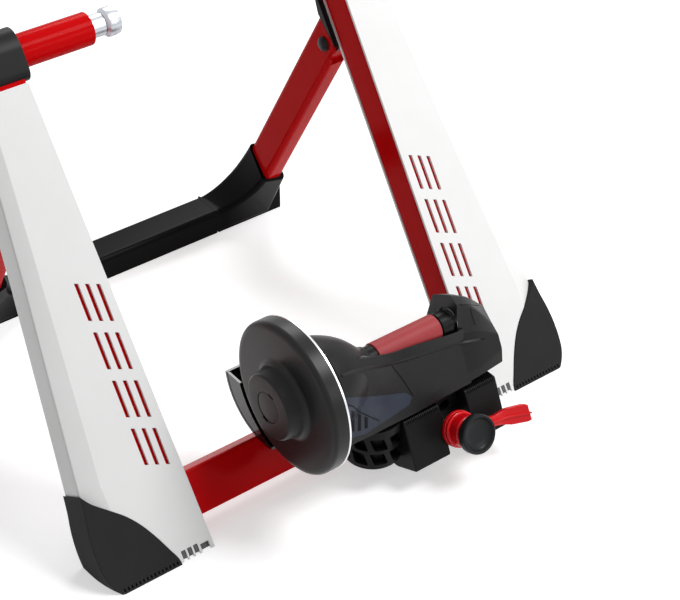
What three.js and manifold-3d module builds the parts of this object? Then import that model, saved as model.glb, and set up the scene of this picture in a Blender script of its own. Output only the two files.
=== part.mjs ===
// Wheel-on turbo trainer: a folding stand that holds a bicycle by its rear axle, with a magnetic
// resistance unit whose roller runs on the rear tyre. Millimetres, +Z up, +Y towards the bicycle's front.
import * as THREE from 'three';
import { mergeVertices } from 'three/addons/utils/BufferGeometryUtils.js';
import Module from 'manifold-3d';

const wasm = await Module();
wasm.setup();

// Shared clearances
const GAP = 0.3;
const OVERRUN = 20;
const DEGREE = Math.PI / 180;
const TURN = 2 * Math.PI;

// Main legs: both lean forward by this angle, and every leg piece is drawn in the leaning frame,
// x across, y through the leg from its rear face, z up along the leg.
const LEG_LEAN = 34.52 * DEGREE;
const LEG_INNER_X = 178.2;
const LEG_SPLAY_SHARE = 0.013;
const LEG_TUBE_WIDTH = 46;
const LEG_TUBE_DEPTH = 38;
const LEG_TUBE_FRONT = 41.6;
const LEG_TUBE_CORNER = 2.6;
const TUBE_WALL = 2.2;
const LEG_TOP = 536;
const LEG_FOOT = 5;

// White moulded covers on the main legs
const COVER_WALL = 3;
const COVER_DEPTH = 45;
const COVER_TOP = 487;
const COVER_OUTER_WIDTH = 108;
const COVER_EDGE = 5;
const COVER_SLOT_WIDTH = 5;
const COVER_SLOT_LENGTH = 38;
const COVER_SLOT_CORNER = 1;
const COVER_SLOT_STEP = 13.5;
const COVER_SLOT_COUNT = 3;
const COVER_SLOT_INSET = 8;
const COVER_SLOT_LOW = 96;
const COVER_SLOT_GROUP_STEP = 50;
const COVER_SLOT_GROUPS = 4;

// Feet
const PAD_BULGE = 11.5;
const PAD_HEIGHT = 104;
const PAD_INNER_X = 216.4;
const TOOTH_WIDTH = 3.4;
const TOOTH_STEP = 6.4;
const TOOTH_HEIGHT = 4;
const TOOTH_COUNT = 9;
const TOOTH_DEPTH = 2.4;
const STRIP_HEIGHT = 13;
const STRIP_SLOT_WIDTH = 4;
const STRIP_SLOT_STEP = 7;
const STRIP_SLOT_COUNT = 3;
const STRIP_SLOT_HEIGHT = 8;
const STRIP_SLOT_BASE = 3.4;

// Cross tube between the legs
const CROSS_REAR = 5;
const CROSS_DEPTH = 28;
const CROSS_HEIGHT = 47.2;
const CROSS_LOW = 33.3;
const CROSS_CORNER = 5;

// Heads and axle clamps on top of the legs
const CLAMP_ALONG = 518;
const CLAMP_THROUGH = 20;
const HEAD_LOW = 489;
const HEAD_RADIUS = 27;
const HEAD_INNER_OVERLAP = 6;
const HEAD_OUTER_X = 238;
const HEAD_WALL = 8;
const SLEEVE_RADIUS = 17;
const SLEEVE_BORE = 12;
const SLEEVE_END_X = 98;
const SPINDLE_RADIUS = 11.7;
const SPINDLE_NOSE = 6;
const CUP_FACE_X = 66;
const CUP_RADIUS = 15;
const CUP_LENGTH = 16;
const CUP_RECESS_RADIUS = 8.5;
const CUP_RECESS_DEPTH = 6;
const NUT_RADIUS = 24;
const NUT_LENGTH = 18;
const NUT_LOBES = 6;
const NUT_LOBE_DEPTH = 3;
const SPINDLE_TAIL = 12;
const SPINDLE_NECK_RADIUS = 7.5;
const SPINDLE_NECK_LENGTH = 20;
const SPINDLE_TIP_RADIUS = 3;
const THREAD_PITCH = 3;
const RIGHT_SPINDLE_TURNS = 5;
const CAM_HIGH = 20;
const CAM_LOW = 10;
const CAM_SWING = 100 * DEGREE;
const CAM_WIDTH = 16;
const CAM_PIN_RADIUS = 4;
const FORK_EAR = 5;
const LEVER_LENGTH = 96;
const LEVER_WIDTH_TIP = 13;
const LEVER_THICKNESS = 10;

// Hinge of the folding front frame
const BOLT_THROUGH = 63.2;
const BOLT_ALONG = 424.4;
const BOLT_RADIUS = 5;
const BOLT_HEAD_RADIUS = 8.5;
const BOLT_HEAD_HEIGHT = 5;
const NUT_HEX_RADIUS = 8.5;
const NUT_HEX_HEIGHT = 6;
const TONGUE_RADIUS = 12;
const TONGUE_WIDTH = 17;
const TONGUE_REACH_DOWN = 12;
const WEDGE_THICKNESS = 9;
const WEDGE_WIDEST = 31.8;
const WEDGE_TOP = 66;
const WEDGE_LOW = 8;
const FRONT_MIDDLE_X = 191.7;

// Folding front frame
const FRONT_LEAN = 30.5 * DEGREE;
const FRONT_TUBE_WIDTH = 27;
const FRONT_TUBE_REAR = 18;
const FRONT_TUBE_FRONT = 24.4;
const FRONT_TUBE_CORNER = 7;
const FRONT_TUBE_OFF_FLOOR = 74.3;
const FRONT_TUBE_SLEEVED = 40.5;
const FRONT_END_FRONT = 21;
const FRONT_END_REAR = 11.6;
const FRONT_END_SWEEP = 16;
const FRONT_END_SWEEP_START = 207 * DEGREE;
const FRONT_END_SWEEP_END = 124 * DEGREE;
const FRONT_NOTCH_DEPTH = 19;
const ELBOW_WALL = 2.6;
const ELBOW_TOP_SLOPE = 0.3;
const ELBOW_GUSSET = 46;
const BAR_WIDTH = 44;
const BAR_HEIGHT = 31;
const BAR_END_X = 225;
const BAR_CORNER = 5;
const BAR_JOINT_X = 128;
const BAR_SPIGOT = 16;
const BAR_WALL = 3;

// Carrier: grips the cross tube and carries the resistance unit
const CARRIER_LEFT_X = 28;
const CARRIER_RIGHT_X = 150;
const CHEEK_LEFT_WIDTH = 46;
const CHEEK_RIGHT_WIDTH = 42;
const CHEEK_LEAN = 24 * DEGREE;
const CHEEK_TOP_Y = -38;
const CHEEK_TOP_Z = 79;
const CHEEK_REAR_HEIGHT = 56;
const CHEEK_UNDER_LENGTH = 34;
const CHEEK_UNDER_Z = 14;
const CHEEK_FRONT_Y = 9;
const CHEEK_TOP_FRONT_Y = 29;
const CHEEK_CORNER = 2;
const RIB_STEP = 3.2;
const RIB_WIDTH = 1.5;
const RIB_DEPTH = 1.2;
const RIB_LENGTH = 30;
const SADDLE_WALL = 5;
const SADDLE_LIP = 22;
const SADDLE_RISE = 4;
const SADDLE_NOTCH = 4;
const EAR_THICKNESS = 6;
const EAR_RADIUS = 9;
const WEB_REAR_Y = -27;
const WEB_UNDER_Z = 43;
const WEB_RECESS_RADIUS = 7;
const WEB_RECESS_DEPTH = 12;
const WEB_RECESS_Z = 62;
const TILT_PIN_Y = 62;
const TILT_PIN_Z = 78;
const TILT_PIN_RADIUS = 4;
const TILT_PIN_HEAD = 6.5;
const TILT_PIN_HEAD_LENGTH = 3;

// Quick clamp of the carrier: hook, threaded rod, cam collar with its lever, and hand knob
const ROD_X = 88.5;
const ROD_RADIUS = 4;
const ROD_BELOW_TOP = 32.8;
const ROD_FRONT = 68;
const ROD_BACK = 31;
const HOOK_WIDTH = 24;
const HOOK_PLATE = 3.4;
const HOOK_DROP = 1.7;
const HOOK_LIP = 14;
const HOOK_BOSS = 16;
const HOOK_REAR = 11;
const COLLAR_SEAT_RADIUS = 19.5;
const COLLAR_SEAT_LENGTH = 5;
const COLLAR_RADIUS = 17.5;
const COLLAR_LENGTH = 23;
const COLLAR_FLANGE_RADIUS = 19;
const COLLAR_FLANGE_LENGTH = 4;
const COLLAR_BORE = 4.4;
const CAM_LEVER_REACH = 76;
const CAM_LEVER_ROOT = 9;
const CAM_LEVER_WAIST = 5.5;
const CAM_LEVER_PADDLE = 9;
const CAM_LEVER_THICKNESS = 7;
const CAM_LEVER_OFFSET = 11;
const CAM_LEVER_TURN = -7 * DEGREE;
const KNOB_RADIUS = 21;
const KNOB_NECK = 12;
const KNOB_LENGTH = 15;
const KNOB_RIM = 9;
const KNOB_DISH_RADIUS = 16;
const KNOB_DISH_DEPTH = 3;
const KNOB_START = 23.4;
const KNOB_EDGE = 2;

// Resistance unit: roller axis and housing
const ROLLER_Y = -5;
const ROLLER_Z = 149.3;
const ROLLER_RADIUS = 14.2;
const ROLLER_START_X = 14;
const ROLLER_END_X = 98;
const COLLAR_RING_RADIUS = 13.4;
const COLLAR_RING_LENGTH = 10;
const CORE_RADIUS = 11.8;
const SHAFT_RADIUS = 6;
const SHAFT_END_X = 123;
const BEARING_RADIUS = 14;
const BEARING_WIDTH = 9;
const BEARING_LEFT_X = -12;
const BEARING_RIGHT_X = 110;
const HOUSING_LEFT_X = -57;
const TOWER_X = 111;
const SHELL_UNIT = 50;
const TROUGH_RADIUS = 19;
const BORE_RADIUS = 9;
const SEAM_GAP = 0.3;
const SEAM_Y = 20.5;
const LUG_THICKNESS = 8;
const LUG_RADIUS = 8;
const DRUM_X = 11.5;
const DRUM_Y = -9;
const DRUM_RADIUS = 30;
const DRUM_LOW_Z = 30;
const DRUM_HIGH_Z = 79.5;
const DRUM_WALL = 3;
const DRUM_RIBS = 9;
const DRUM_RIB_DEPTH = 3;
const DRUM_RIB_STEPS = 8;
const DRUM_CUT_X = 27;

// Flywheel group, magnets and guard
const FLYWHEEL_FACE_X = -94;
const FLYWHEEL_RADIUS = 80.4;
const FLYWHEEL_DEPTH = 17.2;
const FLYWHEEL_EDGE = 2.4;
const FLYWHEEL_WALL = 2.5;
const HUB_PROUD = 19.5;
const HUB_RADIUS = 34.2;
const HUB_BASE_RADIUS = 45;
const HUB_CAP_RADIUS = 16.4;
const HUB_CAP_DEPTH = 5;
const HUB_CAP_SLOT = 5.5;
const DISC_RADIUS = 80.9;
const DISC_THICKNESS = 2.8;
const STEEL_RADIUS = 74;
const STEEL_THICKNESS = 9;
const MAGNET_RADIUS = 10;
const MAGNET_LENGTH = 4;
const MAGNET_COUNT = 12;
const MAGNET_CIRCLE = 50;
const MAGNET_PLATE_RADIUS = 61;
const MAGNET_PLATE_BORE = 20;
const MAGNET_PLATE_THICKNESS = 3.5;
const MAGNET_GAP = 1;
const BACK_PLATE_RADIUS = 47;
const BACK_PLATE_THICKNESS = 4;
const GUARD_Y = 35;
const GUARD_Z = 126.5;
const GUARD_REACH = 63;
const GUARD_DROP = 60.5;
const GUARD_WALL = 3;
const GUARD_TOP_Z = 119;
const GUARD_SLOT = 4;

// Outlines as shares, chosen by hand, of the sizes they follow
const coverOuterShares = [[0, 0.97], [0.05, 0.995], [0.213, 0.998], [0.4, 0.892], [0.634, 0.757],
  [0.906, 0.618], [1, 0.576]];
const padRimShares = [[0.99, 0.985], [0.80, 0.92], [0.60, 0.72], [0.42, 0.51], [0.26, 0.3],
  [0.11, 0.13], [0, -0.35]];
const tipShares = [[1, 1], [0.8, 0.4], [0.43, 0.1], [0, 0]];
const padBulgeShares = [[0, 0.2], [0.08, 0.62], [0.2, 0.9], [0.4, 1], [0.62, 0.85], [0.82, 0.5]];

// Housing sections: across, then pairs of rearward and upward places about the roller axis, all in shares
// of SHELL_UNIT. Each ring runs ridge, middle of the panel, foot of the panel, underside, front, trough.
const bodySectionShares = [
  [-1.14, [-0.74, 0.60], [-0.72, -0.42], [-0.70, -1.22], [-0.54, -1.39], [0.50, -1.39], [0.76, -1.12],
    [0.78, 0.28], [0.44, 0.68], [-0.36, 0.78]],
  [-0.34, [-0.62, 0.37], [-0.68, -0.52], [-0.70, -1.27], [-0.54, -1.39], [0.54, -1.39], [0.76, -1.20],
    [0.70, -0.04], [0.42, 0.24], [-0.30, 0.44]],
  [0.4, [-0.43, -0.03], [-0.58, -0.78], [-0.68, -1.30], [-0.54, -1.39], [0.54, -1.39], [0.74, -1.24],
    [0.64, -0.44], [0.44, -0.36], [-0.20, -0.16]],
  [0.96, [-0.40, -0.18], [-0.63, -1.06], [-0.68, -1.30], [-0.54, -1.39], [0.54, -1.39], [0.74, -1.24],
    [0.62, -0.52], [0.44, -0.44], [-0.18, -0.23]],
  [2.36, [-0.34, -0.42], [-0.60, -1.06], [-0.65, -1.28], [-0.52, -1.39], [0.54, -1.39], [0.74, -1.24],
    [0.62, -0.52], [0.44, -0.44], [-0.22, -0.26]],
];
const towerSectionShares = [
  [2.22, [-0.65, -1.25], [-0.59, -1.06], [-0.27, -0.24], [-0.25, 0.50], [-0.03, 0.63], [0.50, 0.32],
    [0.68, -0.30], [0.70, -1.25]],
  [2.7, [-0.64, -1.22], [-0.60, -1.00], [-0.38, -0.28], [-0.22, 0.24], [0.02, 0.38], [0.46, 0.18],
    [0.64, -0.34], [0.68, -1.22]],
  [3.24, [-0.60, -1.20], [-0.56, -0.86], [-0.42, -0.57], [-0.20, -0.40], [0.10, -0.14], [0.36, -0.20],
    [0.56, -0.46], [0.60, -1.20]],
];
const bellShares = [[0, 1], [0.18, 0.95], [0.36, 0.87], [0.52, 0.77], [0.66, 0.65], [0.79, 0.5],
  [0.9, 0.36], [1, 0.31]];

// Materials
const finish = (color, roughness, metalness) => new THREE.MeshStandardMaterial({ color, roughness, metalness });
const redPaint = finish(0x97080c, 0.25, 0.1);
const whitePlastic = finish(0xf2f2f2, 0.3, 0);
const blackPlastic = finish(0x262626, 0.5, 0);
const blackRubber = finish(0x2f2f2f, 0.75, 0);
const greyRubber = finish(0x6a6a6a, 0.8, 0);
const rollerRubber = finish(0xc2323a, 0.55, 0);
const redPlastic = finish(0xe0101a, 0.35, 0);
const zincSteel = finish(0xb8bcc2, 0.35, 0.9);
const blackSteel = finish(0x202020, 0.45, 0.6);
const aluminium = finish(0xd8dadd, 0.3, 1);

// Turns a closed three.js geometry into a solid that can be joined and cut
function solid(geometry) {
  const bare = geometry.index ? geometry.toNonIndexed() : geometry.clone();
  bare.deleteAttribute('normal');
  bare.deleteAttribute('uv');
  const merged = mergeVertices(bare, 1e-4);
  const corners = merged.index.array;
  const kept = [];
  for (let i = 0; i < corners.length; i += 3) {
    const [a, b, c] = [corners[i], corners[i + 1], corners[i + 2]];
    if (a !== b && b !== c && c !== a) kept.push(a, b, c);
  }
  const vertProperties = new Float32Array(merged.attributes.position.array);
  return new wasm.Manifold(new wasm.Mesh({ numProp: 3, vertProperties, triVerts: new Uint32Array(kept) }));
}

// The same solid seen in a mirror on the x = 0 plane
function mirrored(part) {
  const mesh = part.getMesh();
  const step = mesh.numProp;
  const vertProperties = new Float32Array((mesh.vertProperties.length / step) * 3);
  for (let i = 0; i < mesh.vertProperties.length / step; i += 1) {
    vertProperties[3 * i] = -mesh.vertProperties[step * i];
    vertProperties[3 * i + 1] = mesh.vertProperties[step * i + 1];
    vertProperties[3 * i + 2] = mesh.vertProperties[step * i + 2];
  }
  const triVerts = new Uint32Array(mesh.triVerts);
  for (let i = 0; i < triVerts.length; i += 3) {
    [triVerts[i], triVerts[i + 1]] = [triVerts[i + 1], triVerts[i]];
  }
  return new wasm.Manifold(new wasm.Mesh({ numProp: 3, vertProperties, triVerts }));
}

// A named mesh of a solid, hung in a group
function piece(name, part, material, group) {
  const mesh = part.getMesh();
  const step = mesh.numProp;
  const positions = new Float32Array((mesh.vertProperties.length / step) * 3);
  for (let i = 0; i < positions.length / 3; i += 1) {
    positions.set(mesh.vertProperties.slice(step * i, step * i + 3), 3 * i);
  }
  const geometry = new THREE.BufferGeometry();
  geometry.setAttribute('position', new THREE.BufferAttribute(positions, 3));
  geometry.setIndex(new THREE.BufferAttribute(new Uint32Array(mesh.triVerts), 1));
  geometry.computeVertexNormals();
  const node = new THREE.Mesh(geometry, material.clone());
  node.name = name;
  group.add(node);
  return node;
}

const corner = (x, y) => new THREE.Vector2(x, y);
const joined = (parts) => parts.reduce((sum, part) => sum.add(part));
const cut = (part, tools) => tools.reduce((left, tool) => left.subtract(tool), part);

// Closed outline through the corners, each rounded by the radius where its sides are long enough
function roundedOutline(corners, radius, Kind = THREE.Shape) {
  const outline = new Kind();
  corners.forEach((point, i) => {
    const before = corners[(i + corners.length - 1) % corners.length];
    const after = corners[(i + 1) % corners.length];
    const reachIn = Math.min(radius, before.distanceTo(point) * 0.45);
    const reachOut = Math.min(radius, after.distanceTo(point) * 0.45);
    const start = point.clone().add(before.clone().sub(point).setLength(reachIn));
    const end = point.clone().add(after.clone().sub(point).setLength(reachOut));
    if (i === 0) outline.moveTo(start.x, start.y);
    else outline.lineTo(start.x, start.y);
    if (radius > 0) outline.quadraticCurveTo(point.x, point.y, end.x, end.y);
  });
  outline.closePath();
  return outline;
}

function rectangle(x0, x1, y0, y1) {
  return [corner(x0, y0), corner(x1, y0), corner(x1, y1), corner(x0, y1)];
}

// Extrusions of an outline along each axis, with an optional rounded edge at both ends
function extruded(outline, length, edge = 0, steps = 4) {
  const bevel = edge > 0
    ? { bevelEnabled: true, bevelThickness: edge, bevelSize: edge, bevelOffset: -edge, bevelSegments: 2 }
    : { bevelEnabled: false };
  const geometry = new THREE.ExtrudeGeometry(outline, { depth: length - 2 * edge, curveSegments: steps, ...bevel });
  return geometry.translate(0, 0, edge);
}
const upX = new THREE.Matrix4().makeBasis(
  new THREE.Vector3(0, 1, 0), new THREE.Vector3(0, 0, 1), new THREE.Vector3(1, 0, 0));
const upY = new THREE.Matrix4().makeBasis(
  new THREE.Vector3(1, 0, 0), new THREE.Vector3(0, 0, 1), new THREE.Vector3(0, -1, 0));
// outline in y and z, from x0 to x1
function slabX(outline, x0, x1, edge = 0, steps = 4) {
  return extruded(outline, x1 - x0, edge, steps).applyMatrix4(upX).translate(x0, 0, 0);
}
// outline in x and z, from y0 to y1
function slabY(outline, y0, y1, edge = 0, steps = 4) {
  return extruded(outline, y1 - y0, edge, steps).applyMatrix4(upY).translate(0, y1, 0);
}
// outline in x and y, from z0 to z1
function slabZ(outline, z0, z1, edge = 0, steps = 4) {
  return extruded(outline, z1 - z0, edge, steps).translate(0, 0, z0);
}
function box(x0, x1, y0, y1, z0, z1) {
  const geometry = new THREE.BoxGeometry(x1 - x0, y1 - y0, z1 - z0);
  return geometry.translate((x0 + x1) / 2, (y0 + y1) / 2, (z0 + z1) / 2);
}

// Turned piece about an axis along X through (0, 0): pairs of radius and place along the axis
function turnedX(profile, segments = 32) {
  const points = profile.map(([radius, along]) => corner(radius, along));
  return new THREE.LatheGeometry(points, segments).rotateZ(-Math.PI / 2);
}
function rodX(radius, x0, x1, segments = 24) {
  return turnedX([[0, x0], [radius, x0], [radius, x1], [0, x1]], segments);
}
function ringX(outer, inner, x0, x1, segments = 32) {
  return turnedX([[inner, x0], [outer, x0], [outer, x1], [inner, x1], [inner, x0]], segments);
}

// Skin through rings of equal count, closed by a cap at each end
function loft(given) {
  const flat = (ring) => ring.map((p) => corner(p.y, p.z));
  const rings = THREE.ShapeUtils.area(flat(given[0])) > 0 ? given : given.map((ring) => [...ring].reverse());
  const count = rings[0].length;
  const positions = rings.flat().flatMap((p) => [p.x, p.y, p.z]);
  const faces = [];
  for (let r = 0; r + 1 < rings.length; r += 1) {
    for (let i = 0; i < count; i += 1) {
      const j = (i + 1) % count;
      const [a, b] = [r * count + i, r * count + j];
      const [c, d] = [a + count, b + count];
      faces.push([a, b, d], [a, d, c]);
    }
  }
  const last = (rings.length - 1) * count;
  THREE.ShapeUtils.triangulateShape(flat(rings[0]), []).forEach(([a, b, c]) => faces.push([a, c, b]));
  THREE.ShapeUtils.triangulateShape(flat(rings[rings.length - 1]), [])
    .forEach(([a, b, c]) => faces.push([last + a, last + b, last + c]));
  const geometry = new THREE.BufferGeometry();
  geometry.setAttribute('position', new THREE.BufferAttribute(new Float32Array(positions), 3));
  geometry.setIndex(faces.flat());
  return geometry;
}

// Frames: the leaning legs, and the folding front frame about its hinge bolts
const trainer = new THREE.Group();
const legFrame = new THREE.Group();
legFrame.rotation.x = -LEG_LEAN;
trainer.add(legFrame);
const toWorld = (through, along) => corner(
  through * Math.cos(LEG_LEAN) + along * Math.sin(LEG_LEAN),
  along * Math.cos(LEG_LEAN) - through * Math.sin(LEG_LEAN));
const toLeg = (y, z) => corner(
  y * Math.cos(LEG_LEAN) - z * Math.sin(LEG_LEAN),
  y * Math.sin(LEG_LEAN) + z * Math.cos(LEG_LEAN));
const WIDE = 2 * (LEG_INNER_X + COVER_OUTER_WIDTH);
const underFloor = () => solid(box(-WIDE, WIDE, -WIDE, WIDE, -WIDE, 0).rotateX(LEG_LEAN));
const splayed = new THREE.Matrix4().set(1, 0, LEG_SPLAY_SHARE, 0, 0, 1, 0, 0, 0, 0, 1, 0, 0, 0, 0, 1);

// Adds the right-hand piece and its mirror image under left and right names
function pair(name, part, material, group) {
  piece(`${name}_right`, part, material, group);
  piece(`${name}_left`, mirrored(part), material, group);
}

// Rectangular tube section with rounded corners and its bore
function tubeOutline([x0, x1], [y0, y1], radius) {
  const outline = roundedOutline(rectangle(x0, x1, y0, y1), radius);
  const bore = rectangle(x0 + TUBE_WALL, x1 - TUBE_WALL, y0 + TUBE_WALL, y1 - TUBE_WALL);
  outline.holes.push(roundedOutline(bore, Math.max(0, radius - TUBE_WALL), THREE.Path));
  return outline;
}

function buildLegTubes() {
  const outline = tubeOutline([LEG_INNER_X, LEG_INNER_X + LEG_TUBE_WIDTH],
    [LEG_TUBE_FRONT - LEG_TUBE_DEPTH, LEG_TUBE_FRONT], LEG_TUBE_CORNER);
  const tube = solid(slabZ(outline, 0, CLAMP_ALONG - SLEEVE_RADIUS - 2 * GAP).applyMatrix4(splayed));
  const lift = solid(box(-WIDE, WIDE, -WIDE, WIDE, -WIDE, LEG_FOOT).rotateX(LEG_LEAN));
  pair('leg_tube', tube.subtract(lift), redPaint, legFrame);
}

// Outer edge of the cover at a height along the leg
function coverEdgeX(along) {
  const share = along / COVER_TOP;
  const next = Math.max(1, coverOuterShares.findIndex(([height]) => height >= share));
  const [[h0, w0], [h1, w1]] = [coverOuterShares[next - 1], coverOuterShares[next]];
  const width = w0 + ((w1 - w0) * (share - h0)) / (h1 - h0);
  return LEG_INNER_X + width * COVER_OUTER_WIDTH;
}

function coverOutline(inset, innerX) {
  const outer = coverOuterShares.map(([height]) => height * COVER_TOP)
    .map((along) => corner(coverEdgeX(along) - inset, along));
  outer[0].y = -OVERRUN;
  const inner = [corner(innerX + COVER_TOP * LEG_SPLAY_SHARE, COVER_TOP), corner(innerX, -OVERRUN)];
  return [...outer, ...inner];
}

function padOutline(clearance) {
  const base = coverEdgeX(0) - PAD_INNER_X;
  const rim = padRimShares.map(([x, up]) => corner(PAD_INNER_X - clearance + x * base, up * PAD_HEIGHT + clearance));
  const bulge = padBulgeShares.map(([up, out]) => corner(
    coverEdgeX(up * PAD_HEIGHT) + out * PAD_BULGE + clearance * OVERRUN, up * PAD_HEIGHT));
  return [...rim, ...bulge];
}

// Plain slots in the cover, in groups of parallel bars
function coverSlots() {
  const slots = [];
  for (let group = 0; group < COVER_SLOT_GROUPS; group += 1) {
    for (let i = 0; i < COVER_SLOT_COUNT; i += 1) {
      const low = COVER_SLOT_LOW + group * COVER_SLOT_GROUP_STEP;
      const x = LEG_INNER_X + low * LEG_SPLAY_SHARE + COVER_SLOT_INSET + i * COVER_SLOT_STEP;
      const outline = roundedOutline(rectangle(x, x + COVER_SLOT_WIDTH, low, low + COVER_SLOT_LENGTH), COVER_SLOT_CORNER);
      slots.push(solid(slabY(outline, -OVERRUN, COVER_WALL + GAP, 0, 2)));
    }
  }
  return slots;
}
function stripSlotX(i) {
  return PAD_INNER_X - STRIP_SLOT_STEP * (i + 1);
}

function buildCovers() {
  const outer = slabY(roundedOutline(coverOutline(0, LEG_INNER_X - COVER_EDGE), 0),
    0, COVER_DEPTH, COVER_EDGE);
  const cavity = slabY(roundedOutline(coverOutline(COVER_WALL, LEG_INNER_X - OVERRUN), 0),
    COVER_WALL, COVER_DEPTH - COVER_WALL);
  const inside = solid(box(0, LEG_INNER_X, -OVERRUN, COVER_DEPTH + OVERRUN, -OVERRUN, LEG_TOP)
    .applyMatrix4(splayed));
  const pad = solid(slabY(roundedOutline(padOutline(GAP), 0), -OVERRUN, COVER_DEPTH + OVERRUN));
  const slots = coverSlots();
  for (let i = 0; i < STRIP_SLOT_COUNT; i += 1) {
    const x = stripSlotX(i);
    slots.push(solid(box(x, x + STRIP_SLOT_WIDTH, -OVERRUN, COVER_WALL + GAP,
      STRIP_SLOT_BASE, STRIP_SLOT_BASE + STRIP_SLOT_HEIGHT)));
  }
  const lift = solid(box(-WIDE, WIDE, -WIDE, WIDE, -WIDE, GAP).rotateX(LEG_LEAN));
  pair('leg_cover', cut(solid(outer), [solid(cavity), inside, pad, lift, ...slots]), whitePlastic, legFrame);
}

const clearOfLegTube = () => solid(box(LEG_INNER_X - OVERRUN, LEG_INNER_X + LEG_TUBE_WIDTH + GAP,
  LEG_TUBE_FRONT - LEG_TUBE_DEPTH - GAP, LEG_TUBE_FRONT + GAP, -OVERRUN, LEG_TOP).applyMatrix4(splayed));

function buildFeet() {
  const pad = solid(slabY(roundedOutline(padOutline(0), 0), 0, COVER_DEPTH, COVER_WALL));
  const teeth = [];
  for (let i = 0; i < TOOTH_COUNT; i += 1) {
    const x = PAD_INNER_X + TOOTH_STEP * (i + 1);
    teeth.push(solid(box(x, x + TOOTH_WIDTH, -OVERRUN, TOOTH_DEPTH, -OVERRUN, TOOTH_HEIGHT)));
  }
  pair('foot_pad', cut(pad, [underFloor(), clearOfLegTube(), ...teeth]), blackRubber, legFrame);

  const inner = LEG_INNER_X + GAP;
  const outer = PAD_INNER_X - GAP;
  const rise = toLeg(0, STRIP_HEIGHT);
  const outline = rectangle(inner, outer, COVER_WALL + GAP, COVER_DEPTH - COVER_WALL - GAP);
  const block = solid(slabZ(roundedOutline(outline, 0), -COVER_DEPTH, rise.y + COVER_DEPTH));
  const over = solid(box(-WIDE, WIDE, -WIDE, WIDE, LEG_FOOT - GAP, WIDE).rotateX(LEG_LEAN));
  const fingers = [];
  for (let i = 0; i < STRIP_SLOT_COUNT; i += 1) {
    const x = stripSlotX(i);
    fingers.push(solid(box(x + GAP, x + STRIP_SLOT_WIDTH - GAP, GAP, COVER_DEPTH / 2,
      STRIP_SLOT_BASE + GAP, STRIP_SLOT_BASE + STRIP_SLOT_HEIGHT - GAP)));
  }
  const raised = joined(fingers).subtract(clearOfLegTube());
  const strip = joined([block.subtract(over), raised]).subtract(underFloor());
  pair('foot_strip', strip, greyRubber, legFrame);
}

function buildCrossTube() {
  const outline = tubeOutline([CROSS_REAR, CROSS_REAR + CROSS_DEPTH], [CROSS_LOW, CROSS_LOW + CROSS_HEIGHT], CROSS_CORNER);
  const end = LEG_INNER_X + CROSS_LOW * LEG_SPLAY_SHARE - GAP;
  piece('cross_tube', solid(slabX(outline, -end, end)), redPaint, legFrame);
}

// Heads, clamp sleeves and the two axle spindles
const headInnerX = LEG_INNER_X + HEAD_LOW * LEG_SPLAY_SHARE - HEAD_INNER_OVERLAP;
const atClamp = (geometry) => geometry.translate(0, CLAMP_THROUGH, CLAMP_ALONG);

function headOutline() {
  return [corner(-CLAMP_THROUGH - GAP, HEAD_LOW - CLAMP_ALONG), corner(COVER_DEPTH - CLAMP_THROUGH, HEAD_LOW - CLAMP_ALONG),
    corner(HEAD_RADIUS, 0), corner(HEAD_RADIUS * 0.6, HEAD_RADIUS * 0.85), corner(-HEAD_RADIUS * 0.4, HEAD_RADIUS),
    corner(-HEAD_RADIUS * 0.85, HEAD_RADIUS * 0.4)];
}

function buildHeads() {
  const body = solid(atClamp(slabX(roundedOutline(headOutline(), HEAD_RADIUS * 0.4), headInnerX, HEAD_OUTER_X, COVER_EDGE)));
  const socket = solid(slabZ(roundedOutline(rectangle(LEG_INNER_X - GAP, LEG_INNER_X + LEG_TUBE_WIDTH + GAP,
    LEG_TUBE_FRONT - LEG_TUBE_DEPTH - GAP, LEG_TUBE_FRONT + GAP), LEG_TUBE_CORNER), 0, CLAMP_ALONG - SLEEVE_RADIUS - GAP)
    .applyMatrix4(splayed));
  const bore = solid(atClamp(rodX(SLEEVE_RADIUS + GAP, 0, HEAD_OUTER_X - HEAD_WALL, 28)));
  const endHole = (radius) => solid(atClamp(rodX(radius + GAP, 0, HEAD_OUTER_X + OVERRUN / 2, 24)));
  piece('head_right', cut(body, [socket, bore, endHole(SPINDLE_RADIUS)]), blackPlastic, legFrame);

  const earX = HEAD_OUTER_X + CAM_HIGH + EAR_RADIUS;
  const half = CAM_WIDTH / 2 + GAP;
  const earRoot = HEAD_OUTER_X - EAR_RADIUS;
  const ear = (low, high) => solid(atClamp(slabZ(roundedOutline(rectangle(earRoot, earX, -EAR_RADIUS, EAR_RADIUS),
    EAR_RADIUS * 0.7), low, high)));
  const ears = joined([ear(half, half + FORK_EAR), ear(-half - FORK_EAR, -half)]);
  const pinHole = solid(atClamp(new THREE.CylinderGeometry(CAM_PIN_RADIUS + GAP, CAM_PIN_RADIUS + GAP, WIDE, 20)
    .rotateX(Math.PI / 2).translate(HEAD_OUTER_X + CAM_HIGH, 0, 0)));
  piece('head_left', mirrored(cut(joined([body, ears]), [socket, bore, endHole(SPINDLE_NECK_RADIUS), pinHole])), blackPlastic, legFrame);

  const sleeve = ringX(SLEEVE_RADIUS, SLEEVE_BORE, SLEEVE_END_X, HEAD_OUTER_X - HEAD_WALL - GAP, 28);
  pair('clamp_sleeve', solid(atClamp(sleeve)), redPaint, legFrame);
}

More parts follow.
